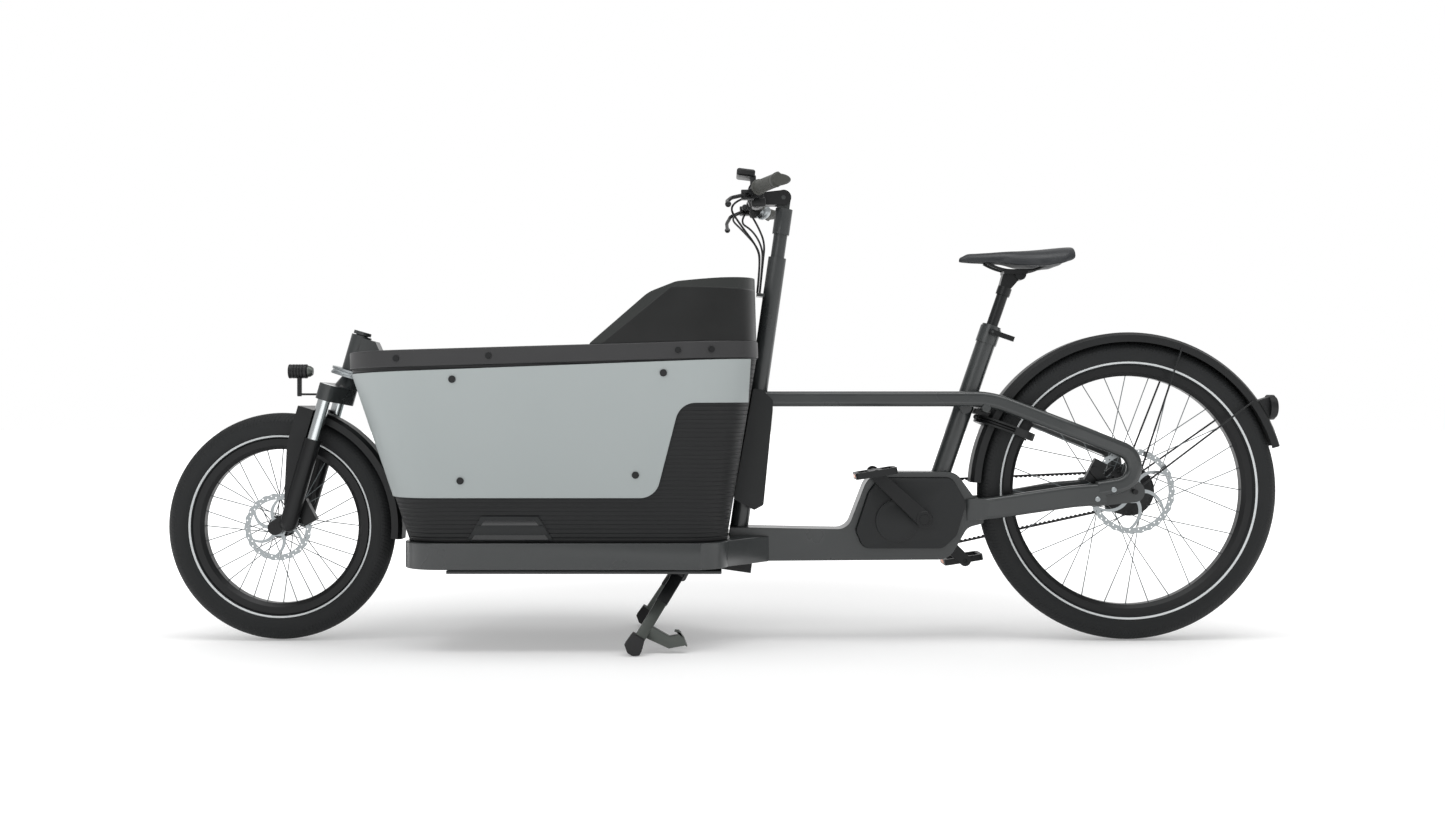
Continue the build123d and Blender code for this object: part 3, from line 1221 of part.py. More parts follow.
nodes = {
    "front_post": front_post, "cargo_platform": cargo_platform, "centre_beam": centre_beam,
    "steering_mast": steering_mast, "seat_tube": seat_tube, "side_tubes": side_tubes,
    "chain_stays": chain_stays, "motor_unit": motor_unit, "motor_covers": motor_covers,
    "battery_case": battery_case, "tub": tub, "cargo_rim": cargo_rim, "side_panels": side_panels,
    "tub_bolts": tub_bolts, "backrest": backrest, "pulley_housing": pulley_housing,
    "steering_bearings": steering_bearings, "rear_fender": rear_fender, "tail_light": tail_light,
    "ring_lock": ring_lock, "lock_bolt": lock_bolt, "rear_caliper": rear_caliper,
    "stand_bracket": stand_bracket, "drive_belt": drive_belt, "steering_cables": steering_cables,
    "rear_axle": rear_axle, "fork_crown": fork_crown, "fork_stanchions": stanchions,
    "steering_pulley": steering_pulley, "headlight": headlight, "fork_lowers": fork_lowers,
    "front_caliper": front_caliper, "front_fender": front_fender, "front_axle": front_axle,
    "front_tyre": front_tyre, "front_rim": front_rim, "front_spokes": front_spokes,
    "front_hub": front_hub, "front_rotor": front_rotor, "rear_tyre": rear_tyre, "rear_rim": rear_rim,
    "rear_spokes": rear_spokes, "rear_hub": rear_hub, "rear_rotor": rear_rotor,
    "rear_sprocket": rear_sprocket, "crank_arms": crank_arms, "belt_ring": belt_ring,
    "pedal_left": pedal_left, "pedal_right": pedal_right, "column_tube": column_tube,
    "handlebar_cables": handlebar_cables, "handlebar": handlebar, "grips": grips,
    "bar_controls": bar_controls, "brake_lever_left": brake_lever_left,
    "brake_lever_right": brake_lever_right, "seatpost": seatpost, "saddle": saddle,
    "seat_lever": seat_lever, "stand_legs": stand_legs,
}

os.makedirs("parts", exist_ok=True)
for name, piece in nodes.items():
    pieces = piece if isinstance(piece, list) else [piece]
    solids = [solid for shape in pieces for solid in shape.solids()]
    export_step(Compound(children=solids) if len(solids) > 1 else solids[0], f"parts/{name}.step")
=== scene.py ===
import json
from math import atan2, cos, hypot, pi, radians, sin, sqrt
import bmesh
import bpy
from mathutils import Matrix, Vector


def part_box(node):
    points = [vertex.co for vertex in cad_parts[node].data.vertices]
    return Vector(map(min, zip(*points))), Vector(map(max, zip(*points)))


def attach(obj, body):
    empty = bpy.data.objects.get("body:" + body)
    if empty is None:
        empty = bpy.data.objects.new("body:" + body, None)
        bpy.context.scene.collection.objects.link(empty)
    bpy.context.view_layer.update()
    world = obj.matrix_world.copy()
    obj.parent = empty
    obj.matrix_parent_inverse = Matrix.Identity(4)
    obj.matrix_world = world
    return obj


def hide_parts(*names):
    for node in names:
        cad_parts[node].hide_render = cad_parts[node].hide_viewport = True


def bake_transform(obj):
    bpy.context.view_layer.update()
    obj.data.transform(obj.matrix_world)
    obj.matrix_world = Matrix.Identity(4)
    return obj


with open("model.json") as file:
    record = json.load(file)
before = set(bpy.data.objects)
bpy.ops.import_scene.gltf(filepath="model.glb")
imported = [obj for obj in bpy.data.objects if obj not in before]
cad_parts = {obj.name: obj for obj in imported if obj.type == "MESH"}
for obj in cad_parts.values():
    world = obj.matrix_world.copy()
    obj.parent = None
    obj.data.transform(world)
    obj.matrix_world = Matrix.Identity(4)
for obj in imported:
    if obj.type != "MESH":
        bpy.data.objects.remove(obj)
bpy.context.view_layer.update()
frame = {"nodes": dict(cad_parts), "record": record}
record = frame["record"]
joints = {joint["name"]: joint for joint in record["behaviour"]["joints"]}
MM = 0.001

# ---------------------------------------------------------------- camera

scene = bpy.context.scene
scene.view_settings.view_transform = "Standard"
scene.view_settings.look = "None"

camera_data = bpy.data.cameras.new("camera")
camera_data.sensor_width = 36.0
camera_data.lens = 37.4
camera = bpy.data.objects.new("camera", camera_data)
camera.location = (0.0, 3.6, 0.557)
camera.rotation_euler = (radians(90), 0.0, radians(180))
scene.collection.objects.link(camera)
scene.camera = camera


# ---------------------------------------------------------------- materials

def linear(code, alpha=1.0):
    """sRGB hex to the linear colour that shaders use."""
    values = [int(code[place:place + 2], 16) / 255 for place in (0, 2, 4)]
    return [v / 12.92 if v <= 0.04045 else ((v + 0.055) / 1.055) ** 2.4 for v in values] + [alpha]


def add(tree, kind, fields=None, sockets=None):
    """Adds a node, sets its fields, and sets or links its sockets."""
    made = tree.nodes.new("ShaderNode" + kind)
    for name, value in (fields or {}).items():
        setattr(made, name, value)
    for name, value in (sockets or {}).items():
        if isinstance(value, bpy.types.NodeSocket):
            tree.links.new(value, made.inputs[name])
        else:
            made.inputs[name].default_value = value
    return made


def maths(tree, operation, first, second=0.5):
    """Output of one arithmetic node on two values."""
    return add(tree, "Math", {"operation": operation}, {0: first, 1: second}).outputs[0]


def finish(name, dark, light, roughness, metallic=0.0, grain=1.2, depth=0.03, cloud=90.0, spread=0.06,
           coat=0.0, specular=0.5, height=None, shade=None):
    """Surface with a fine grain, slow colour drift and uneven gloss; grain, depth and cloud are in mm."""
    material = bpy.data.materials.new(name)
    material.use_nodes = True
    tree = material.node_tree
    shader = tree.nodes["Principled BSDF"]
    place = add(tree, "TexCoord").outputs["Object"]
    drift = add(tree, "TexNoise", None, {"Vector": place, "Scale": 1 / (cloud * MM), "Detail": 3.0})
    fine = add(tree, "TexNoise", None, {"Vector": place, "Scale": 1 / (grain * MM), "Detail": 2.0})
    colour = add(tree, "Mix", {"data_type": "RGBA"})
    tree.links.new(drift.outputs["Fac"], colour.inputs[0])
    colour.inputs[6].default_value = linear(dark)
    colour.inputs[7].default_value = linear(light)
    result = colour.outputs[2]
    # Optional second colour mixed in where a mask is one; the hood uses it to paint a highlight on its raised
    # edge.
    if shade:
        where, code = shade
        mixed = add(tree, "Mix", {"data_type": "RGBA"})
        tree.links.new(where(tree, place), mixed.inputs[0])
        tree.links.new(result, mixed.inputs[6])
        mixed.inputs[7].default_value = linear(code)
        result = mixed.outputs[2]
    gloss = add(tree, "MapRange", None, {"Value": drift.outputs["Fac"], "From Min": 0.3, "From Max": 0.7,
                                         "To Min": roughness - spread, "To Max": roughness + spread})
    relief = add(tree, "Bump", None, {"Height": fine.outputs["Fac"], "Distance": depth * MM, "Strength": 0.6})
    if height:
        relief = add(tree, "Bump", None, {"Height": height(tree, place), "Distance": 1.0 * MM,
                                          "Strength": 1.0, "Normal": relief.outputs["Normal"]})
    tree.links.new(result, shader.inputs["Base Color"])
    tree.links.new(gloss.outputs["Result"], shader.inputs["Roughness"])
    tree.links.new(relief.outputs["Normal"], shader.inputs["Normal"])
    shader.inputs["Metallic"].default_value = metallic
    shader.inputs["Specular IOR Level"].default_value = specular
    shader.inputs["Coat Weight"].default_value = coat
    shader.inputs["Coat Roughness"].default_value = 0.25
    return material


hood_top = 0.843
hood_fall = 0.82                # drop per metre forward along the hood's front edge
hood_foot = (0.292, 0.703)      # where that edge meets the box's rim
hood_square = 0.773             # height below the edge to distance from it
hood_band = (21 * MM, 24 * MM)  # width of the edge band, with its soft margin


def hood_edge(tree, place):
    """One along the hood's raised edge band, nought inside it."""
    parts = add(tree, "SeparateXYZ", None, {"Vector": place})
    under_top = maths(tree, "SUBTRACT", hood_top, parts.outputs["Z"])
    along = maths(tree, "MULTIPLY", parts.outputs["X"], -hood_fall)
    line = maths(tree, "ADD", along, hood_foot[1] + hood_foot[0] * hood_fall)
    above = maths(tree, "SUBTRACT", line, parts.outputs["Z"])
    under_slope = maths(tree, "MULTIPLY", above, hood_square)
    nearest = maths(tree, "MINIMUM", under_top, under_slope)
    band = add(tree, "MapRange", {"interpolation_type": "SMOOTHSTEP"},
               {"Value": nearest, "From Min": hood_band[0], "From Max": hood_band[1],
                "To Min": 1.0, "To Max": 0.0})
    return band.outputs["Result"]


rib_pitch = 10 * MM


def ribs(tree, place):
    """Level ribs moulded round the load box."""
    parts = add(tree, "SeparateXYZ", None, {"Vector": place})
    count = maths(tree, "MULTIPLY", parts.outputs["Z"], 1 / rib_pitch)
    wave = maths(tree, "PINGPONG", count, 0.5)
    rounded = add(tree, "MapRange", {"interpolation_type": "SMOOTHSTEP"},
                  {"Value": wave, "From Min": 0.05, "From Max": 0.3, "To Min": 0.0, "To Max": 1.0})
    return rounded.outputs["Result"]


def tread(centre, radius):
    """Tread and sidewall pattern of one tyre: blocks on the crown, fine rings down the side."""
    def height(tree, place):
        moved = add(tree, "VectorMath", {"operation": "SUBTRACT"}, {0: place, 1: centre})
        parts = add(tree, "SeparateXYZ", None, {"Vector": moved.outputs["Vector"]})
        turn = maths(tree, "ARCTAN2", parts.outputs["Z"], parts.outputs["X"])
        around = maths(tree, "MULTIPLY", turn, radius / (9 * MM))
        side = maths(tree, "ABSOLUTE", parts.outputs["Y"])
        slant = maths(tree, "MULTIPLY", side, 1 / (14 * MM))
        along = maths(tree, "ADD", around, slant)
        block = maths(tree, "PINGPONG", along, 0.5)
        groove = add(tree, "MapRange", {"interpolation_type": "SMOOTHSTEP"},
                     {"Value": block, "From Min": 0.06, "From Max": 0.16, "To Min": 0.0, "To Max": 1.0})
        reach = add(tree, "VectorMath", {"operation": "LENGTH"}, {0: moved.outputs["Vector"]})
        crown = add(tree, "MapRange", None, {"Value": reach.outputs["Value"], "From Min": radius - 26 * MM,
                                             "From Max": radius - 18 * MM, "To Min": 0.0, "To Max": 1.0})
        worked = maths(tree, "MULTIPLY", groove.outputs["Result"], crown.outputs["Result"])
        rings = maths(tree, "MULTIPLY", reach.outputs["Value"], 1 / (5 * MM))
        ring = maths(tree, "PINGPONG", rings, 0.5)
        low = maths(tree, "MULTIPLY", ring, 0.25)
        return maths(tree, "ADD", worked, low)
    return height


front_centre = Vector(joints["front_wheel_spin"]["pos_m"])
rear_centre = Vector(joints["rear_wheel_spin"]["pos_m"])
crank_centre = Vector(joints["crank_spin"]["pos_m"])
front_tyre_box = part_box("front_tyre")
rear_tyre_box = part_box("rear_tyre")
front_radius = (front_tyre_box[1][2] - front_tyre_box[0][2]) / 2
rear_radius = (rear_tyre_box[1][2] - rear_tyre_box[0][2]) / 2

# Powder coat over aluminium tube: satin, with a faint orange peel.
frame_paint = finish("satin_powder_coat", "292c2d", "323535", 0.32, grain=1.5, depth=0.015, coat=0.25,
                     specular=0.5)
# Rotationally moulded polyethylene: matt and slightly waxy, ribbed all round.
tub_plastic = finish("ribbed_moulded_polyethylene", "141516", "1b1c1d", 0.5, grain=0.9, depth=0.04,
                     specular=0.3,
                     height=ribs)
# The same plastic without ribs, for covers and cases.
cover_plastic = finish("black_moulded_plastic", "151718", "1e2021", 0.42, grain=0.8, depth=0.03,
                       specular=0.35)
# Grained ABS, a shade lighter, on the box's rim.
rim_plastic = finish("grained_grey_abs", "2f2f30", "373738", 0.46, grain=0.9, depth=0.05, specular=0.35)
# Smooth thermoformed sheet behind the children, nearly black, with a moulded raised edge band that is painted
# a lighter grey as a painted highlight.
hood_plastic = finish("thermoformed_black_sheet", "111212", "171818", 0.36, grain=2.0, depth=0.02,
                      specular=0.35,
                      height=hood_edge, shade=(hood_edge, "2a2c2b"))
# Aluminium composite panel, light grey and even.
panel_coat = finish("light_grey_panel_lacquer", "9da4a4", "a4aaaa", 0.45, grain=1.4, depth=0.01, cloud=300.0,
                    specular=0.3)
# Black anodised aluminium: thin, slightly glossy, still metallic.
black_anodised = finish("black_anodised_aluminium", "141516", "1b1c1d", 0.36, metallic=0.3, grain=0.6,
                        depth=0.01,
                        specular=0.4)
# Injection moulded nylon: satin black.
nylon = finish("satin_black_nylon", "101112", "17191a", 0.44, grain=0.7, depth=0.03, specular=0.35)
# Stainless steel, brushed round, light grey.
steel = finish("brushed_stainless_steel", "8f9496", "adb2b4", 0.34, metallic=1.0, grain=0.5, depth=0.01)
# Drawn steel wire, duller than the rotors.
wire = finish("drawn_spoke_wire", "62686a", "7b8183", 0.4, metallic=0.9, grain=0.5, depth=0.005)
# Hard chrome on the fork's sliding tubes: mirror bright.
chrome = finish("hard_chrome", "c3c8ca", "d5d9da", 0.14, metallic=1.0, grain=0.5, depth=0.002, spread=0.03)
# Cast aluminium legs, blasted and lightly coated.
cast_aluminium = finish("blasted_cast_aluminium", "4f5350", "636763", 0.42, metallic=0.7, grain=0.8,
                        depth=0.04)
# Synthetic leather on the saddle: fine pebble, soft sheen.
saddle_cover = finish("pebbled_synthetic_leather", "212326", "292b2e", 0.46, grain=1.6, depth=0.12,
                      specular=0.4)
# Moulded rubber: feet and belt.
rubber = finish("moulded_rubber", "232324", "2c2c2d", 0.6, grain=0.8, depth=0.06, specular=0.35)
# Grip rubber, a warmer and lighter grey.
grip_rubber = finish("grip_rubber", "3a3b37", "444541", 0.55, grain=1.1, depth=0.12, specular=0.35)
# Extruded cable outer.
cable_outer = finish("cable_outer", "0d0e0f", "141516", 0.4, grain=0.5, depth=0.01, specular=0.4)
# Glass-bead reflective band: flat pale grey.
reflective = finish("reflective_band", "c9cdce", "dcdfe0", 0.4, grain=0.3, depth=0.01)
# Prismatic amber reflector.
amber = finish("amber_reflector", "d9640e", "f0801a", 0.25, grain=2.5, depth=0.3)
# Red lens plastic.
red_lens = finish("red_lens", "8f0f12", "b01a1c", 0.2, grain=3.0, depth=0.3, coat=0.4)
# Clear lamp cover over a bright reflector.
clear_lens = finish("lamp_reflector", "b9bec0", "d5d9da", 0.15, metallic=0.6, grain=4.0, depth=0.4)
# Display glass, unlit.
display_glass = finish("display_glass", "0b0c0e", "101215", 0.1, grain=20.0, depth=0.01, coat=0.5)
front_tread = finish("front_tyre_rubber", "161718", "1f2122", 0.62, grain=1.0, depth=0.06, specular=0.3,
                     height=tread(front_centre, front_radius))
rear_tread = finish("rear_tyre_rubber", "161718", "1f2122", 0.62, grain=1.0, depth=0.06, specular=0.3,
                    height=tread(rear_centre, rear_radius))
# Pale painted studio floor.
floor_paint = finish("pale_studio_floor", "e6e6e6", "e9e9e9", 0.7, grain=30.0, depth=0.01, cloud=900.0,
                     specular=0.1)
floor_tree = floor_paint.node_tree
floor_shader = floor_tree.nodes["Principled BSDF"]
away = add(floor_tree, "VectorMath", {"operation": "LENGTH"},
           {0: add(floor_tree, "TexCoord").outputs["Object"]})
glow = add(floor_tree, "MapRange", {"interpolation_type": "SMOOTHSTEP"},
           {"Value": away.outputs["Value"], "From Min": 0.9, "From Max": 2.6, "To Min": 0.22, "To Max": 1.0})
floor_shader.inputs["Emission Color"].default_value = (1, 1, 1, 1)
floor_tree.links.new(glow.outputs["Result"], floor_shader.inputs["Emission Strength"])

# ---------------------------------------------------------------- mesh helpers


def make(name, mesh_data, material, body, smooth=38, replaces=()):
    """Object from a bmesh, with outward faces, a material and the body that it rides on."""
    bmesh.ops.recalc_face_normals(mesh_data, faces=mesh_data.faces)
    mesh = bpy.data.meshes.new(name)
    mesh_data.to_mesh(mesh)
    mesh_data.free()
    mesh.shade_smooth()
    mesh.set_sharp_from_angle(angle=radians(smooth))
    mesh.materials.append(material)
    made = bpy.data.objects.new(name, mesh)
    scene.collection.objects.link(made)
    if body:
        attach(made, body)
    if replaces:
        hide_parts(*replaces)
    return made


def softened(node, material, body, width, name=None, segments=2, angle=35):
    """Merged copy of a CAD node with its sharp edges rounded; it stands for the node."""
    mesh_data = bmesh.new()
    mesh_data.from_mesh(frame["nodes"][node].data)
    bmesh.ops.remove_doubles(mesh_data, verts=mesh_data.verts, dist=0.02 * MM)
    bmesh.ops.dissolve_limit(mesh_data, angle_limit=radians(0.6), verts=mesh_data.verts,
                             edges=mesh_data.edges)
    mesh = bpy.data.meshes.new(name or node + "_soft")
    mesh_data.to_mesh(mesh)
    mesh_data.free()
    mesh.shade_smooth()
    mesh.set_sharp_from_angle(angle=radians(50))
    mesh.materials.clear()
    mesh.materials.append(material)
    made = bpy.data.objects.new(name or node + "_soft", mesh)
    scene.collection.objects.link(made)
    bevel = made.modifiers.new("round", "BEVEL")
    bevel.limit_method = "ANGLE"
    bevel.angle_limit = radians(angle)
    bevel.width = width * MM
    bevel.segments = segments
    bevel.harden_normals = False
    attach(made, body)
    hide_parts(node)
    return made


def spun(profile, centre, axis, steps=96, across=None):
    """Ring from a profile of (radius, along) points turned round an axis."""
    mesh_data = bmesh.new()
    axis = Vector(axis).normalized()
    across = Vector(across) if across else Vector((1, 0, 0))
    outward = (across - axis * across.dot(axis)).normalized()
    corners = [mesh_data.verts.new(Vector(centre) + outward * radius + axis * along) for radius,
               along in profile]
    edges = [mesh_data.edges.new((a, b)) for a, b in zip(corners, corners[1:] + corners[:1])]
    bmesh.ops.spin(mesh_data, geom=corners + edges, cent=centre, axis=axis, angle=2 * pi, steps=steps,
                   use_merge=True)
    bmesh.ops.remove_doubles(mesh_data, verts=mesh_data.verts, dist=0.01 * MM)
    return mesh_data


def block(size, place, rounding=0.0, turn=None, segments=2):
    """Box with all its edges rounded, turned and then placed."""
    mesh_data = bmesh.new()
    bmesh.ops.create_cube(mesh_data, size=1.0)
    bmesh.ops.scale(mesh_data, vec=Vector(size), verts=mesh_data.verts)
    if rounding:
        bmesh.ops.bevel(mesh_data, geom=list(mesh_data.edges), offset=rounding, offset_type="OFFSET",
                        segments=segments, profile=0.5, affect="EDGES", material=-1)
    if turn:
        bmesh.ops.transform(mesh_data, matrix=turn, verts=mesh_data.verts)
    bmesh.ops.translate(mesh_data, vec=Vector(place), verts=mesh_data.verts)
    return mesh_data


def joined(*parts):
    """One bmesh from several."""
    whole = bmesh.new()
    for part in parts:
        mesh = bpy.data.meshes.new("scratch")
        part.to_mesh(mesh)
        part.free()
        whole.from_mesh(mesh)
        bpy.data.meshes.remove(mesh)
    return whole


def plate(outline, low, high, rounding=0.0):
    """Flat plate from an outline of (x, z) points, between two y values."""
    mesh_data = bmesh.new()
    face = mesh_data.faces.new([mesh_data.verts.new((x, low, z)) for x, z in outline])
    grown = bmesh.ops.extrude_face_region(mesh_data, geom=[face])
    tops = [item for item in grown["geom"] if isinstance(item, bmesh.types.BMVert)]
    bmesh.ops.translate(mesh_data, vec=(0, high - low, 0), verts=tops)
    if rounding:
        bmesh.ops.bevel(mesh_data, geom=list(mesh_data.edges), offset=rounding, offset_type="OFFSET",
                        segments=2, profile=0.5, affect="EDGES", material=-1)
    return mesh_data


def tube(name, points, radius, material, body):
    """Smooth cable through the control points of a NURBS line."""
    curve = bpy.data.curves.new(name, "CURVE")
    curve.dimensions = "3D"
    curve.bevel_depth = radius
    curve.bevel_resolution = 3
    curve.resolution_u = 10
    curve.use_fill_caps = True
    line = curve.splines.new("NURBS")
    line.points.add(len(points) - 1)
    for point, place in zip(line.points, points):
        point.co = (*place, 1.0)
    line.order_u = 3
    line.use_endpoint_u = True
    curve.materials.append(material)
    made = bpy.data.objects.new(name, curve)
    scene.collection.objects.link(made)
    if body:
        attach(made, body)
    return made


def dress(node, material):
    """Gives a CAD node its finish."""
    shown = frame["nodes"][node]
    for slot in shown.material_slots:
        slot.material = material


# ---------------------------------------------------------------- nodes that keep their CAD shape

dressed = {
    frame_paint: ["front_post", "steering_mast", "seat_tube", "chain_stays", "side_tubes", "column_tube",
                  "stand_bracket"],
    black_anodised: ["motor_unit", "handlebar", "belt_ring", "rear_sprocket", "seatpost", "front_rim",
                     "rear_rim",
                     "front_hub", "rear_hub", "front_caliper", "rear_caliper", "brake_lever_left",
                     "brake_lever_right", "tub_bolts", "front_axle", "rear_axle", "steering_bearings",
                     "seat_lever",
                     "lock_bolt"],
    steel: ["steering_pulley"],
    wire: ["front_spokes", "rear_spokes"],
    chrome: ["fork_stanchions"],
    nylon: ["front_fender", "rear_fender", "pulley_housing"],
}
for material, names in dressed.items():
    for name in names:
        dress(name, material)

softened("centre_beam", frame_paint, "frame", 9.0, segments=4)
softened("cargo_platform", frame_paint, "frame", 5.0, segments=3)
softened("tub", tub_plastic, "frame", 3.0)
softened("cargo_rim", rim_plastic, "frame", 4.0, segments=3)
softened("backrest", hood_plastic, "frame", 3.5, segments=3)
softened("side_panels", panel_coat, "frame", 1.2)
softened("battery_case", cover_plastic, "frame", 4.0, segments=3)
softened("motor_covers", cover_plastic, "frame", 5.0, segments=3)
softened("crank_arms", black_anodised, "crankset", 3.0, segments=3)
softened("fork_crown", frame_paint, "steerer", 5.0, segments=3)
softened("fork_lowers", black_anodised, "fork_slider", 3.0, segments=3)
softened("ring_lock", nylon, "frame", 2.0)
softened("pedal_left", nylon, "left_pedal", 1.5)
softened("pedal_right", nylon, "right_pedal", 1.5)

# ---------------------------------------------------------------- rotors and belt


def circle(x, z, radius, steps):
    """Points round a circle."""
    turns = [2 * pi * step / steps for step in range(steps)]
    return [(x + radius * cos(turn), z + radius * sin(turn)) for turn in turns]


def pierced(rings, thick):
    """Flat plate whose first ring is its edge and whose other rings are holes."""
    curve = bpy.data.curves.new("scratch", "CURVE")
    curve.dimensions = "2D"
    curve.fill_mode = "BOTH"
    curve.extrude = thick / 2
    for ring in rings:
        line = curve.splines.new("POLY")
        line.points.add(len(ring) - 1)
        for point, (x, z) in zip(line.points, ring):
            point.co = (x, z, 0, 1)
        line.use_cyclic_u = True
    holder = bpy.data.objects.new("scratch", curve)
    mesh = bpy.data.meshes.new_from_object(holder)
    mesh_data = bmesh.new()
    mesh_data.from_mesh(mesh)
    bpy.data.objects.remove(holder)
    bpy.data.curves.remove(curve)
    bpy.data.meshes.remove(mesh)
    bmesh.ops.remove_doubles(mesh_data, verts=mesh_data.verts, dist=0.02 * MM)
    bmesh.ops.rotate(mesh_data, cent=(0, 0, 0), matrix=Matrix.Rotation(radians(90), 3, "X"),
                     verts=mesh_data.verts)
    return mesh_data


scallop_depth = 2.2 * MM
hole_radius = 1.9 * MM
hole_insets = (10.2 * MM, 5.2 * MM)     # inner and outer rows, from the edge
rotor_band = 14.5 * MM
hub_ring = 8 * MM
arm_count = 6
arm_half = 4.2 * MM
arm_sweep = 0.55                        # how far an arm leans round, in radians


def rotor(name, node, centre, body, seat, lobes):
    """Brake rotor with a scalloped edge, vent holes and curved arms; seat is its bore."""
    low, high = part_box(node)
    outer, side = (high[0] - low[0]) / 2, (high[1] + low[1]) / 2
    edge = []
    for step in range(lobes * 10):
        turn = 2 * pi * step / (lobes * 10)
        reach = outer - scallop_depth / 2 * (1 - cos(lobes * turn))
        edge.append((reach * cos(turn), reach * sin(turn)))
    rings = [edge, circle(0, 0, seat, 40)]
    for index in range(lobes * 2):
        turn = 2 * pi * (index + 0.5) / (lobes * 2)
        reach = outer - hole_insets[index % 2]
        rings.append(circle(reach * cos(turn), reach * sin(turn), hole_radius, 8))
    inner, band = seat + hub_ring, outer - rotor_band
    bay = 2 * pi / arm_count
    for index in range(arm_count):
        start, window = bay * index, []
        for step in range(9):
            share = step / 8
            reach = inner + (band - inner) * share
            turn = start + arm_sweep * share ** 1.4 + arm_half / reach
            window.append((reach * cos(turn), reach * sin(turn)))
        for step in range(1, 6):
            turn = start + arm_sweep + arm_half / band + (bay - 2 * arm_half / band) * step / 6
            window.append((band * cos(turn), band * sin(turn)))
        for step in range(9):
            share = 1 - step / 8
            reach = inner + (band - inner) * share
            turn = start + bay + arm_sweep * share ** 1.4 - arm_half / reach
            window.append((reach * cos(turn), reach * sin(turn)))
        rings.append(window)
    plate = pierced(rings, high[1] - low[1])
    bmesh.ops.translate(plate, vec=(centre.x, side, centre.z), verts=plate.verts)
    make(name, plate, steel, body, smooth=30, replaces=(node,))


rotor("front_rotor_plate", "front_rotor", front_centre, "front_wheel", 15 * MM, 22)
rotor("rear_rotor_plate", "rear_rotor", rear_centre, "rear_wheel", 22 * MM, 28)


belt_pitch = 11 * MM
ring_teeth = 48
sprocket_teeth = 24
belt_outside, belt_inside = -57.5 * MM, -46.5 * MM
belt_back, belt_land, belt_tooth = 3 * MM, -1 * MM, -3.6 * MM      # from the pitch line, outward
belt_step = belt_pitch / 4


def toothed_belt():
    """Belt round both pulleys, with a tooth on its inner side at each pitch."""
    big, small = ring_teeth * belt_pitch / (2 * pi), sprocket_teeth * belt_pitch / (2 * pi)
    span = rear_centre - crank_centre
    reach = hypot(span.x, span.z)
    slope = atan2(span.z, span.x)
    lean = sqrt(reach ** 2 - (big - small) ** 2)
    open_angle = atan2(lean, big - small)
    path = []
    for centre, radius, start, sweep_angle in ((crank_centre, big, slope + open_angle,
                                                2 * pi - 2 * open_angle),
                                               (rear_centre, small, slope - open_angle, 2 * open_angle)):
        steps = round(radius * sweep_angle / belt_step)
        for step in range(steps + 1):
            turn = start + sweep_angle * step / steps
            path.append((Vector((centre.x + radius * cos(turn), 0, centre.z + radius * sin(turn))),
                         Vector((cos(turn), 0, sin(turn)))))
        other = rear_centre if centre is crank_centre else crank_centre
        size = small if centre is crank_centre else big
        out = path[-1][1]
        end = Vector((other.x, 0, other.z)) + out * size
        begin = path[-1][0]
        steps = round((end - begin).length / belt_step)
        path += [(begin.lerp(end, step / steps), out) for step in range(1, steps)]
    mesh_data = bmesh.new()
    rows = []
    for index, (place, out) in enumerate(path):
        inner = belt_land if index % 4 < 2 else belt_tooth
        rows.append([mesh_data.verts.new(place + out * lift + Vector((0, side, 0)))
                     for lift, side in ((belt_back, belt_inside), (belt_back, belt_outside),
                                        (inner, belt_outside), (inner, belt_inside))])
    for row, after in zip(rows, rows[1:] + rows[:1]):
        for corner in range(4):
            beside = (corner + 1) % 4
            mesh_data.faces.new((row[corner], row[beside], after[beside], after[corner]))
    return mesh_data


make("toothed_belt", toothed_belt(), rubber, "frame", smooth=30, replaces=("drive_belt",))

# ---------------------------------------------------------------- tyres


tyre_half = 33 * MM
bead_drop, bead_half = 29 * MM, 13 * MM


def tyre(name, node, centre, radius, stripe_radius, material, body):
    """Round tyre carcass with a reflective band on each side."""
    half = tyre_half
    middle = radius - half
    profile = [(middle + half * cos(turn), half * sin(turn)) for turn in
               [radians(-148 + step * 296 / 26) for step in range(27)]]
    profile += [(middle - bead_drop, bead_half), (middle - bead_drop, -bead_half)]
    carcass = spun(profile, centre, (0, 1, 0), steps=144)
    make(name, carcass, material, body, smooth=60, replaces=(node,))
    inward = middle - stripe_radius
    stand = sqrt(half ** 2 - inward ** 2)
    tangent = Vector((stand, inward)).normalized()
    bands = []
    for side in (1, -1):
        ring = []
        for across, lift in ((-2.6, 0.2), (-2.2, 0.7), (2.2, 0.7), (2.6, 0.2), (2.6, -0.6), (-2.6, -0.6)):
            out_r = stripe_radius + across * MM * tangent.x - lift * MM * tangent.y
            out_y = stand + across * MM * tangent.y + lift * MM * tangent.x
            ring.append((out_r, side * out_y))
        bands.append(spun(ring, centre, (0, 1, 0), steps=144))
    make(name + "_band", joined(*bands), reflective, body, smooth=30)


tyre("front_tyre_carcass", "front_tyre", front_centre, front_radius, 215.5 * MM, front_tread, "front_wheel")
tyre("rear_tyre_carcass", "rear_tyre", rear_centre, rear_radius, 304.7 * MM, rear_tread, "rear_wheel")

# ---------------------------------------------------------------- saddle

saddle_low, saddle_high = [Vector(corner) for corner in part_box("saddle")]
saddle_length = saddle_high.x - saddle_low.x


def eased(value, points):
    """Smooth curve through (position, value) points."""
    for (a, low), (b, high) in zip(points, points[1:]):
        if value <= b:
            share = max(0.0, min(1.0, (value - a) / (b - a)))
            share = share * share * (3 - 2 * share)
            return low + (high - low) * share
    return points[-1][1]


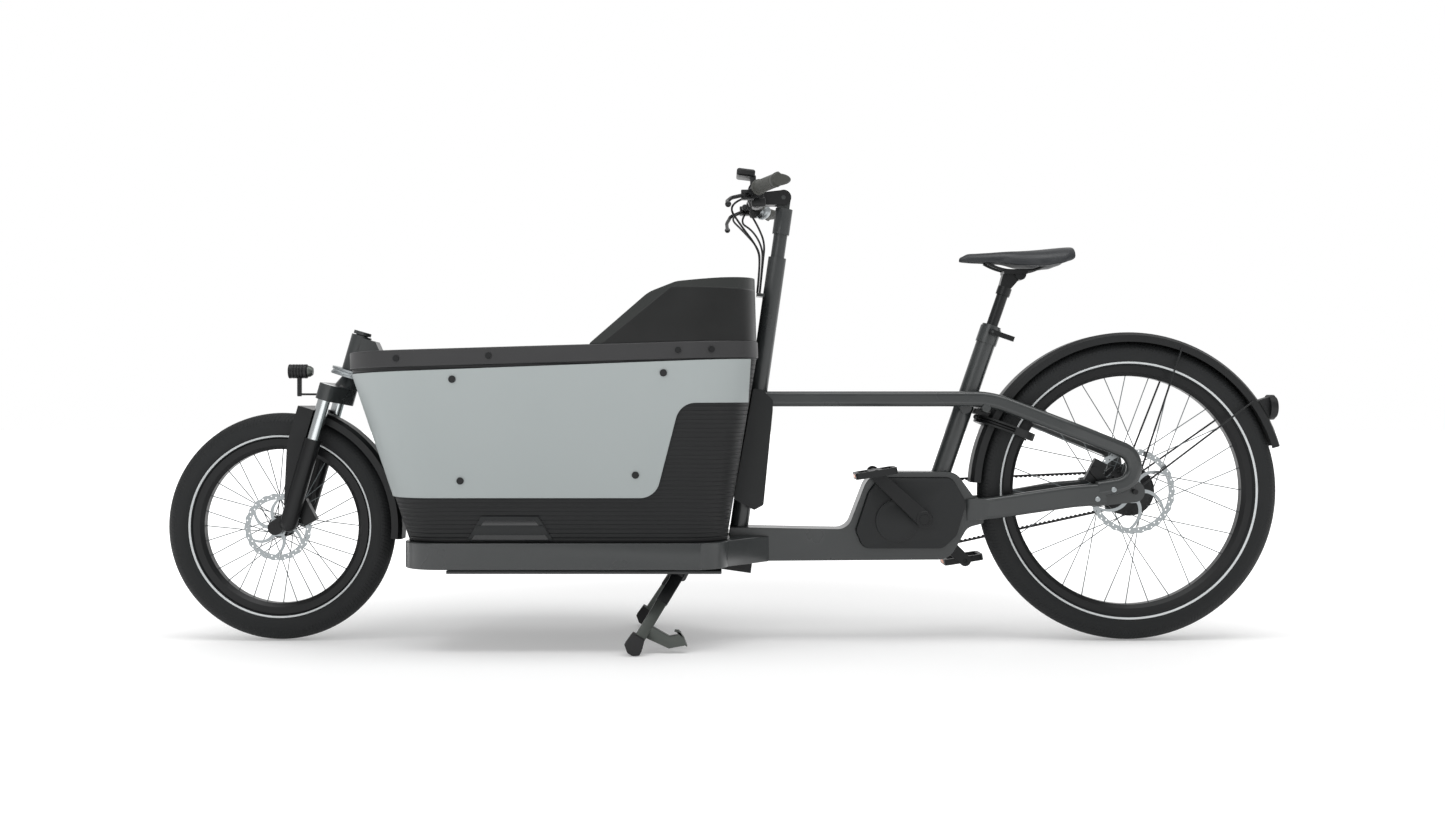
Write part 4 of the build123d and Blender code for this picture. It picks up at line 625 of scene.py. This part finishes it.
def saddle_shell():
    """Padded shell: narrow nose, wide back, a shallow channel along the middle and deep sides amidships."""
    mesh_data = bmesh.new()
    bmesh.ops.create_grid(mesh_data, x_segments=30, y_segments=18, size=0.5)
    middle = saddle_low.x + saddle_length * 0.45
    nose_x, nose_z = saddle_high.x, saddle_high.z - 22 * MM
    for vert in mesh_data.verts:
        back = 0.5 - vert.co.x
        side = vert.co.y * 2
        half = eased(back, [(0.0, 10), (0.05, 19), (0.35, 27), (0.72, 74), (0.9, 86), (1.0, 70)]) * MM
        top = nose_z + eased(back, [(0.0, -5), (0.08, 5), (0.5, 12), (1.0, 20)]) * MM
        edge = nose_z + eased(back, [(0.0, -13), (0.15, -15), (0.35, -17), (0.55, -25), (0.7, -29),
                                     (0.86, -24),
                                     (0.96, -16), (1.0, -10)]) * MM
        turn = side * pi / 2
        channel = 4 * MM * max(0.0, 1 - (side / 0.2) ** 2) * eased(back,
                                                                   [(0.2, 0), (0.4, 1), (0.85, 1), (0.95, 0)])
        vert.co.x = nose_x - back * saddle_length
        vert.co.y = half * sin(turn)
        vert.co.z = edge + (top - edge) * max(0.0, cos(turn)) ** 0.75 - channel
    rim = [edge for edge in mesh_data.edges if edge.is_boundary]
    skirt = bmesh.ops.extrude_edge_only(mesh_data, edges=rim)
    for vert in [item for item in skirt["geom"] if isinstance(item, bmesh.types.BMVert)]:
        vert.co.z -= 3 * MM
        vert.co.y *= 0.9
        vert.co.x = middle + (vert.co.x - middle) * 0.985
    skirt_edges = [item for item in skirt["geom"] if isinstance(item, bmesh.types.BMEdge)]
    inner = bmesh.ops.extrude_edge_only(mesh_data, edges=skirt_edges)
    for vert in [item for item in inner["geom"] if isinstance(item, bmesh.types.BMVert)]:
        vert.co.y *= 0.55
        vert.co.x = middle + (vert.co.x - middle) * 0.9
        vert.co.z += 6 * MM
    bmesh.ops.holes_fill(mesh_data, edges=[edge for edge in mesh_data.edges if edge.is_boundary], sides=0)
    return mesh_data


saddle = make("saddle_pad", saddle_shell(), saddle_cover, "seat", smooth=80,
              replaces=("saddle",))
smoothing = saddle.modifiers.new("smooth", "SUBSURF")
smoothing.levels = 2
smoothing.render_levels = 2
rail_z = saddle_low.z + 5 * MM
for side in (-20, 20):
    y = side * MM
    rail = [(saddle_high.x - 62 * MM, y, saddle_low.z + 24 * MM), (saddle_high.x - 95 * MM, y, rail_z),
            (saddle_high.x - 150 * MM, y, rail_z), (saddle_low.x + 80 * MM, y, rail_z),
            (saddle_low.x + 42 * MM, y, saddle_low.z + 30 * MM)]
    tube("saddle_rail_left" if side > 0 else "saddle_rail_right", rail, 3.5 * MM, black_anodised, "seat")

# ---------------------------------------------------------------- grips and controls

grip_low, grip_high = [Vector(corner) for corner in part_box("grips")]


def grip(side):
    """Hand grip: ribbed sleeve that swells to a palm rest at its outer end."""
    inner = Vector((grip_high.x - 17 * MM, side * (grip_high.y - 128 * MM), (grip_low.z + grip_high.z) / 2))
    outer = Vector((grip_low.x + 16 * MM, side * (grip_high.y - 3 * MM), (grip_low.z + grip_high.z) / 2))
    axis = (outer - inner).normalized()
    length = (outer - inner).length
    profile = [(0.1 * MM, 0.0), (18 * MM, 0.0), (18 * MM, 6 * MM), (15.5 * MM, 8 * MM)]
    for step in range(12):
        start = 10 * MM + step * 8 * MM
        profile += [(15.6 * MM, start), (15.6 * MM, start + 5.5 * MM), (14.8 * MM, start + 6.5 * MM)]
    profile += [(16.5 * MM, length - 14 * MM), (17 * MM, length - 5 * MM), (14 * MM, length),
                (0.1 * MM, length)]
    mesh_data = spun(profile, inner, axis, steps=32)
    for vert in mesh_data.verts:
        share = max(0.0, min(1.0, (vert.co - inner).dot(axis) / length))
        centre = inner + axis * (vert.co - inner).dot(axis)
        offset = vert.co - centre
        if offset.x < 0 and offset.length > 12.5 * MM:
            vert.co.x += offset.x * 0.75 * share ** 2
            vert.co.z -= offset.z * 0.25 * share ** 2
    return mesh_data


make("hand_grips", joined(grip(1), grip(-1)), grip_rubber, "handlebar", replaces=("grips",))

lean = Matrix.Rotation(radians(-7), 4, "Y")
lever_left = Vector(joints["brake_left"]["pos_m"])
bar_x, bar_z = (lever_left.x - 31 * MM), (lever_left.z + 10 * MM)
display_place = Vector((bar_x + 26 * MM, 0, bar_z + 60 * MM))


def controls():
    """Lever clamps with master cylinders, shifter, display foot and bell clamp."""
    parts = []
    for side in (1, -1):
        clamp = spun([(11.3 * MM, -8 * MM), (17 * MM, -8 * MM), (17 * MM, 8 * MM), (11.3 * MM, 8 * MM)],
                     (bar_x + 6 * MM, side * 138 * MM, bar_z + 2.4 * MM), (0, 1, 0), steps=28)
        reach = block((30 * MM, 28 * MM, 8 * MM), (bar_x + 24 * MM, side * 144 * MM, bar_z - 2 * MM), 2 * MM)
        under = block((30 * MM, 28 * MM, 4 * MM), (bar_x + 24 * MM, side * 144 * MM, bar_z - 17.5 * MM),
                      1.5 * MM)
        web = block((10 * MM, 10 * MM, 18 * MM), (bar_x + 20 * MM, side * 133 * MM, bar_z - 9 * MM), 2 * MM)
        cylinder = spun([(0.1 * MM, -34 * MM), (7 * MM, -34 * MM), (8 * MM, -30 * MM), (8 * MM, 10 * MM),
                         (5 * MM, 14 * MM), (0.1 * MM, 14 * MM)],
                        (bar_x + 24 * MM, side * 128 * MM, bar_z - 3 * MM), (0.25, -side, 0), steps=24)
        parts += [clamp, reach, under, web, cylinder]
    for side, across in ((-1, 104), (1, 106)):
        parts.append(spun([(11.3 * MM, -6 * MM), (18 * MM, -6 * MM), (19 * MM, 0), (18 * MM, 6 * MM),
                           (11.3 * MM, 6 * MM)],
                          (bar_x + 4 * MM, side * across * MM, bar_z + 1.4 * MM), (0, 1, 0), steps=28))
        parts.append(block((34 * MM, 18 * MM, 22 * MM), (bar_x - 2 * MM, side * across * MM,
                                                         bar_z - 20 * MM), 5 * MM))
    foot = block((14 * MM, 12 * MM, 46 * MM), (bar_x + 9 * MM, 31 * MM, bar_z + 31 * MM), 3 * MM)
    collar = spun([(11.4 * MM, -6 * MM), (20 * MM, -6 * MM), (20 * MM, 6 * MM), (11.4 * MM, 6 * MM)],
                  (bar_x, 31 * MM, bar_z), (0, 1, 0), steps=28)
    case = block((44 * MM, 84 * MM, 17 * MM), display_place, 5 * MM, lean, 3)
    return joined(*parts, foot, collar, case)


make("bar_fittings", controls(), nylon, "handlebar", replaces=("bar_controls",))
make("display_screen", block((36 * MM, 70 * MM, 1.6 * MM), display_place + lean @ Vector((0, 0, 8.4 * MM)),
                             0.5 * MM, lean),
     display_glass, "handlebar")


def bell():
    """Spun steel dome on its striker base."""
    centre = Vector((bar_x - 22 * MM, -98 * MM, bar_z - 21 * MM))
    profile = [(0.1 * MM, 12 * MM), (8 * MM, 11 * MM), (15 * MM, 7 * MM), (19.5 * MM, 0.0),
               (20.5 * MM, -8 * MM),
               (19.5 * MM, -8 * MM), (18.5 * MM, 0.0), (14 * MM, 6 * MM), (8 * MM, 9.8 * MM),
               (0.1 * MM, 10.8 * MM)]
    return spun(profile, centre, (-0.7, 0, -0.7), steps=36, across=(0, 1, 0))


make("bell_dome", bell(), steel, "handlebar")

# ---------------------------------------------------------------- lamps

head_low, head_high = [Vector(corner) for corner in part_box("headlight")]
lamp_z = head_high.z - 17 * MM
lamp_front = head_high.x


def headlamp():
    """Ribbed lamp body with its bracket."""
    profile = [(0.1 * MM, 0.0), (14 * MM, 0.0), (17 * MM, 3 * MM)]
    for rib in range(5):
        start = 5 * MM + rib * 7 * MM
        profile += [(17 * MM, start), (17 * MM, start + 4 * MM), (15.5 * MM, start + 5 * MM),
                    (15.5 * MM, start + 6 * MM)]
    profile += [(17 * MM, 41 * MM), (17 * MM, 45 * MM), (15 * MM, 45 * MM), (15 * MM, 43 * MM),
                (0.1 * MM, 43 * MM)]
    body = spun(profile, (lamp_front - 45 * MM, 0, lamp_z), (1, 0, 0), steps=40, across=(0, 0, 1))
    stalk = block((9 * MM, 14 * MM, lamp_z - head_low.z - 14 * MM),
                  (lamp_front - 24 * MM, 0, (lamp_z + head_low.z) / 2 - 6 * MM), 2 * MM)
    length = lamp_front - 24 * MM - head_low.x
    arm = block((length, 16 * MM, 5 * MM), (head_low.x + length / 2, 0, head_low.z + 6 * MM), 1.5 * MM)
    return joined(body, stalk, arm)


make("headlamp_body", headlamp(), nylon, "steerer", replaces=("headlight",))
lamp_face = spun([(0.1 * MM, 0.0), (14.8 * MM, 0.0), (14.8 * MM, -2 * MM), (0.1 * MM, -2 * MM)],
                 (lamp_front - 0.4 * MM, 0, lamp_z), (1, 0, 0), steps=40, across=(0, 0, 1))
make("headlamp_lens", lamp_face, clear_lens, "steerer")
cap = spun([(0.1 * MM, -11 * MM), (9 * MM, -10 * MM), (13 * MM, -4 * MM), (13.5 * MM, 1 * MM),
            (0.1 * MM, 1 * MM)],
           (lamp_front - 46 * MM, 0, lamp_z), (1, 0, 0), steps=40, across=(0, 0, 1))
make("headlamp_rear_cap", cap, cast_aluminium, "steerer")

tail_low, tail_high = [Vector(corner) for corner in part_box("tail_light")]
tail_z = (tail_low.z + tail_high.z) / 2
softened("tail_light", nylon, "frame", 3.0, name="tail_lamp_body", segments=3)
lens = spun([(0.1 * MM, -0.6 * MM), (15 * MM, -0.3 * MM), (21 * MM, 2 * MM), (24.5 * MM, 6 * MM),
             (24.5 * MM, 12 * MM),
             (0.1 * MM, 12 * MM)], (tail_low.x, 0, tail_z), (1, 0, 0), steps=48, across=(0, 0, 1))
make("tail_lamp_lens", lens, red_lens, "frame")

# ---------------------------------------------------------------- load box trim

tub_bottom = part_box("tub")[0][2]
box_measured_at = 640 * MM      # height at which the box's upper half width holds
floor_half = 220 * MM
mouth_half = 300 * MM


def side_at(z):
    """Half width of the box at one height."""
    share = (z - tub_bottom) / (box_measured_at - tub_bottom)
    return floor_half + share * (mouth_half - floor_half)


def leaning_plate(outline, outside, thick, rounding):
    """Plate that lies on the leaning side of the box; outside is how far it stands proud."""
    mesh_data = plate(outline, 0.0, thick, rounding)
    for vert in mesh_data.verts:
        vert.co.y += side_at(vert.co.z) + outside - thick
    return mesh_data


def both(mesh_data):
    """The piece and its mirror on the other side."""
    bmesh.ops.mirror(mesh_data, geom=mesh_data.verts[:] + mesh_data.edges[:] + mesh_data.faces[:],
                     matrix=Matrix.Identity(4), merge_dist=-1.0, axis="Y")
    return mesh_data


# The step on each side: a black frame, a near-black glossy plate inside it that paints the shade in the
# step's recess, and a black ledge.
step_frame = [(0.576, 0.254), (0.541, 0.3105), (0.413, 0.3105), (0.380, 0.254)]
painted_shade_step_recess = [(0.566, 0.2555), (0.5335, 0.302), (0.4205, 0.302), (0.390, 0.2555)]
step_ledge = [(0.566, 0.268), (0.5515, 0.290), (0.4025, 0.290), (0.390, 0.268)]
make("step_frame", both(leaning_plate(step_frame, 2.0 * MM, 3 * MM, 0.8 * MM)), cover_plastic, "frame")
make("painted_shade_step_recess", both(leaning_plate(painted_shade_step_recess, 2.8 * MM, 1.2 * MM, 0.3 * MM)), display_glass, "frame")
make("step_ledge", both(leaning_plate(step_ledge, 4.4 * MM, 2.5 * MM, 0.8 * MM)), cover_plastic, "frame")

# ---------------------------------------------------------------- motor and hub details


def motor_bulge():
    """Round housing over the motor with a stepped face."""
    centre = Vector((crank_centre.x + 62 * MM, 0.066, crank_centre.z - 4 * MM))
    return spun([(0.1 * MM, 1.5 * MM), (30 * MM, 1.5 * MM), (33 * MM, 0.5 * MM), (44 * MM, 0.3 * MM),
                 (46 * MM, -2 * MM),
                 (0.1 * MM, -2 * MM)], centre, (0, 1, 0), steps=64)


make("motor_bulge_face", motor_bulge(), cover_plastic, "frame")
boss = spun([(12.5 * MM, 0.0), (19 * MM, 0.0), (20 * MM, -1 * MM), (20 * MM, -3 * MM), (12.5 * MM, -3 * MM)],
            crank_centre + Vector((0, 0.0868, 0)), (0, 1, 0), steps=48)
make("crank_cap", boss, black_anodised, "crankset")

hub_parts = []
for index in range(18):
    turn = Matrix.Rotation(2 * pi * index / 18, 4, "Y")
    place = rear_centre + turn @ Vector((48 * MM, 0, 0)) + Vector((0, 31.5 * MM, 0))
    hub_parts.append(block((12 * MM, 5 * MM, 7 * MM), place, 1.2 * MM, turn, 1))
make("hub_fins", joined(*hub_parts), nylon, "rear_wheel")

# ---------------------------------------------------------------- pedals and stand

for body, name, joint in (("left_pedal", "left", "pedal_left_spin"),
                          ("right_pedal", "right", "pedal_right_spin")):
    low, high = [Vector(corner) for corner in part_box("pedal_" + name)]
    middle_y = (low.y + high.y) / 2 + (8 * MM if name == "left" else -8 * MM)
    pivot = Vector(joints[joint]["pos_m"])
    turn = Matrix.Rotation(radians(9), 4, "Y")
    reflectors = []
    for end in (-1, 1):
        place = Vector((pivot.x, middle_y, pivot.z)) + turn @ Vector((end * 47.6 * MM, 0, 0))
        reflectors.append(block((2.4 * MM, 40 * MM, 9 * MM), place, 0.8 * MM, turn, 1))
    make("pedal_reflectors_" + name, joined(*reflectors), amber, body)

stand_joint = Vector(joints["kickstand_fold"]["pos_m"])
foot_left = Vector(record["mounts"][0]["pos_m"])
foot_outline = [(0.2195, 0.026), (0.2015, 0.0505), (0.1745, 0.035), (0.1805, 0.010), (0.186, 0.001),
                (0.2005, 0.0),
                (0.2125, 0.007)]
hook_outline = [(0.1588, 0.0598), (0.1201, 0.0377), (0.1007, 0.0413), (0.0966, 0.046), (0.109, 0.0487),
                (0.1085, 0.0515), (0.098, 0.0507), (0.0869, 0.0349), (0.0792, 0.0142), (0.0841, 0.0175),
                (0.1215, 0.0106), (0.174, 0.0349)]


leg_top_side = 118 * MM
foot_height = 24 * MM
foot_half = 19 * MM
hook_sides = (190 * MM, 213 * MM)


def along_leg(side, start, end, wide, thick, rounding):
    """Flat bar on the line of one leg, between two distances from its top."""
    top = Vector((stand_joint.x, side * leg_top_side, stand_joint.z))
    foot = Vector((foot_left.x - 4 * MM, side * foot_left.y, foot_height))
    down = (foot - top).normalized()
    across = Vector((0, 1, 0)).cross(down).normalized()
    turn = Matrix((across, down.cross(across), down)).transposed().to_4x4()
    return block((wide, thick, end - start), top + down * (start + end) / 2, rounding, turn)


leg_parts, feet, sleeves = [], [], []
for side in (1, -1):
    leg_parts.append(along_leg(side, 60 * MM, 196 * MM, 25 * MM, 12 * MM, 2.5 * MM))
    sleeves.append(along_leg(side, -8 * MM, 84 * MM, 28 * MM, 15 * MM, 3 * MM))
    centre = side * foot_left.y
    feet.append(plate(foot_outline, centre - foot_half, centre + foot_half, 2 * MM))
leg_parts.append(plate(hook_outline, *hook_sides, 1.2 * MM))
tube_half = 126 * MM
sleeves.append(spun([(0.1 * MM, -tube_half), (12 * MM, -tube_half), (12 * MM, tube_half),
                     (0.1 * MM, tube_half)],
                    stand_joint, (0, 1, 0), steps=32))
make("stand_leg_bars", joined(*leg_parts), cast_aluminium, "stand", replaces=("stand_legs",))
make("stand_feet", joined(*feet), rubber, "stand")
make("stand_sleeves", joined(*sleeves), nylon, "stand")

bolts = []
dropout_side = 103 * MM
for x, z in ((-0.912, 0.363), (-0.874, 0.341)):
    for side in (1, -1):
        bolts.append(spun([(0.1 * MM, -2 * MM), (6 * MM, -2 * MM), (6 * MM, 1.2 * MM), (5 * MM, 2 * MM),
                           (2.6 * MM, 2 * MM),
                           (2.6 * MM, 0.8 * MM), (0.1 * MM, 0.8 * MM)], (x, side * dropout_side, z),
                           (0, side, 0), steps=24))
make("dropout_bolts", joined(*bolts), steel, "frame")

# ---------------------------------------------------------------- cables

cable_routes = {
    "left": [(-0.0516, 0.131, 1.0387), (-0.0096, 0.100, 1.0287), (-0.0436, 0.050, 0.9847),
             (-0.0836, 0.020, 0.9367),
             (-0.0904, 0.015, 0.9004), (-0.0834, 0.015, 0.8294)],
    "right": [(-0.0516, -0.131, 1.0387), (-0.0136, -0.098, 1.0247), (-0.0516, -0.048, 0.9817),
              (-0.0876, -0.020, 0.9377), (-0.0904, -0.015, 0.9004), (-0.0834, -0.015, 0.8294)],
    "shift": [(-0.0616, -0.131, 1.0417), (-0.0396, -0.092, 1.0107), (-0.0736, -0.042, 0.9837),
              (-0.0956, -0.012, 0.9407), (-0.0964, -0.005, 0.9004), (-0.0894, -0.005, 0.8294)],
    "display": [(-0.0686, 0.035, 1.0467), (-0.0636, 0.048, 1.0167), (-0.0846, 0.032, 0.9847),
                (-0.1016, 0.011, 0.9467), (-0.0964, 0.005, 0.9004), (-0.0894, 0.005, 0.8294)],
}


def bending_cable(name, points):
    """Cable from the handlebar down to its clip on the column, made a plain mesh that rides on no body."""
    curve = tube("scratch", points, 2.5 * MM, cable_outer, None)
    made = bpy.data.objects.new(name, bpy.data.meshes.new_from_object(curve))
    bpy.data.objects.remove(curve)
    made.data.shade_smooth()
    scene.collection.objects.link(made)
    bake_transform(made)
    return made


bar_cables = [bending_cable("cable_" + name, points) for name, points in cable_routes.items()]
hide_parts("handlebar_cables")

steering_route = [(0.009, 0.035, 0.1755), (0.073, 0.031, 0.1835), (0.677, 0.031, 0.1835),
                  (0.7328, 0.031, 0.2593),
                  (0.7301, 0.031, 0.3626), (0.7612, 0.031, 0.4611), (0.8187, 0.031, 0.5403),
                  (0.8679, 0.051, 0.6283)]
steering = [tube("steering_cable_left", steering_route, 2.5 * MM, cable_outer, "frame"),
            tube("steering_cable_right", [(x, -y, z) for x, y, z in steering_route], 2.5 * MM, cable_outer,
                 "frame")]
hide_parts("steering_cables")

# ---------------------------------------------------------------- studio

floor = bmesh.new()
bmesh.ops.create_grid(floor, x_segments=1, y_segments=1, size=30.0)
bmesh.ops.translate(floor, vec=(0, 0, -0.001), verts=floor.verts)
make("studio_floor", floor, floor_paint, None)

world = bpy.data.worlds.new("studio")
world.use_nodes = True
sky = world.node_tree
facing = add(sky, "SeparateXYZ", None, {"Vector": add(sky, "TexCoord").outputs["Generated"]})
backdrop = add(sky, "MapRange", {"interpolation_type": "SMOOTHSTEP"},
               {"Value": facing.outputs["Y"], "From Min": -0.6, "From Max": -0.82, "To Min": 0.5,
                "To Max": 1.0})
sky.nodes["Background"].inputs["Color"].default_value = (1.0, 1.0, 1.0, 1.0)
sky.links.new(backdrop.outputs["Result"], sky.nodes["Background"].inputs["Strength"])
scene.world = world


def area_light(name, place, target, power, size):
    """Large soft lamp that faces a point."""
    data = bpy.data.lights.new(name, "AREA")
    data.shape = "RECTANGLE"
    data.size, data.size_y = size
    data.energy = power
    lamp = bpy.data.objects.new(name, data)
    lamp.location = place
    lamp.rotation_euler = (Vector(target) - Vector(place)).to_track_quat("-Z", "Y").to_euler()
    scene.collection.objects.link(lamp)


area_light("overhead", (0.0, 0.7, 3.2), (0.0, 0.0, 0.3), 70.0, (4.5, 1.6))
area_light("front_fill", (1.6, 3.6, 2.4), (0.2, 0.0, 0.5), 22.0, (2.5, 1.5))
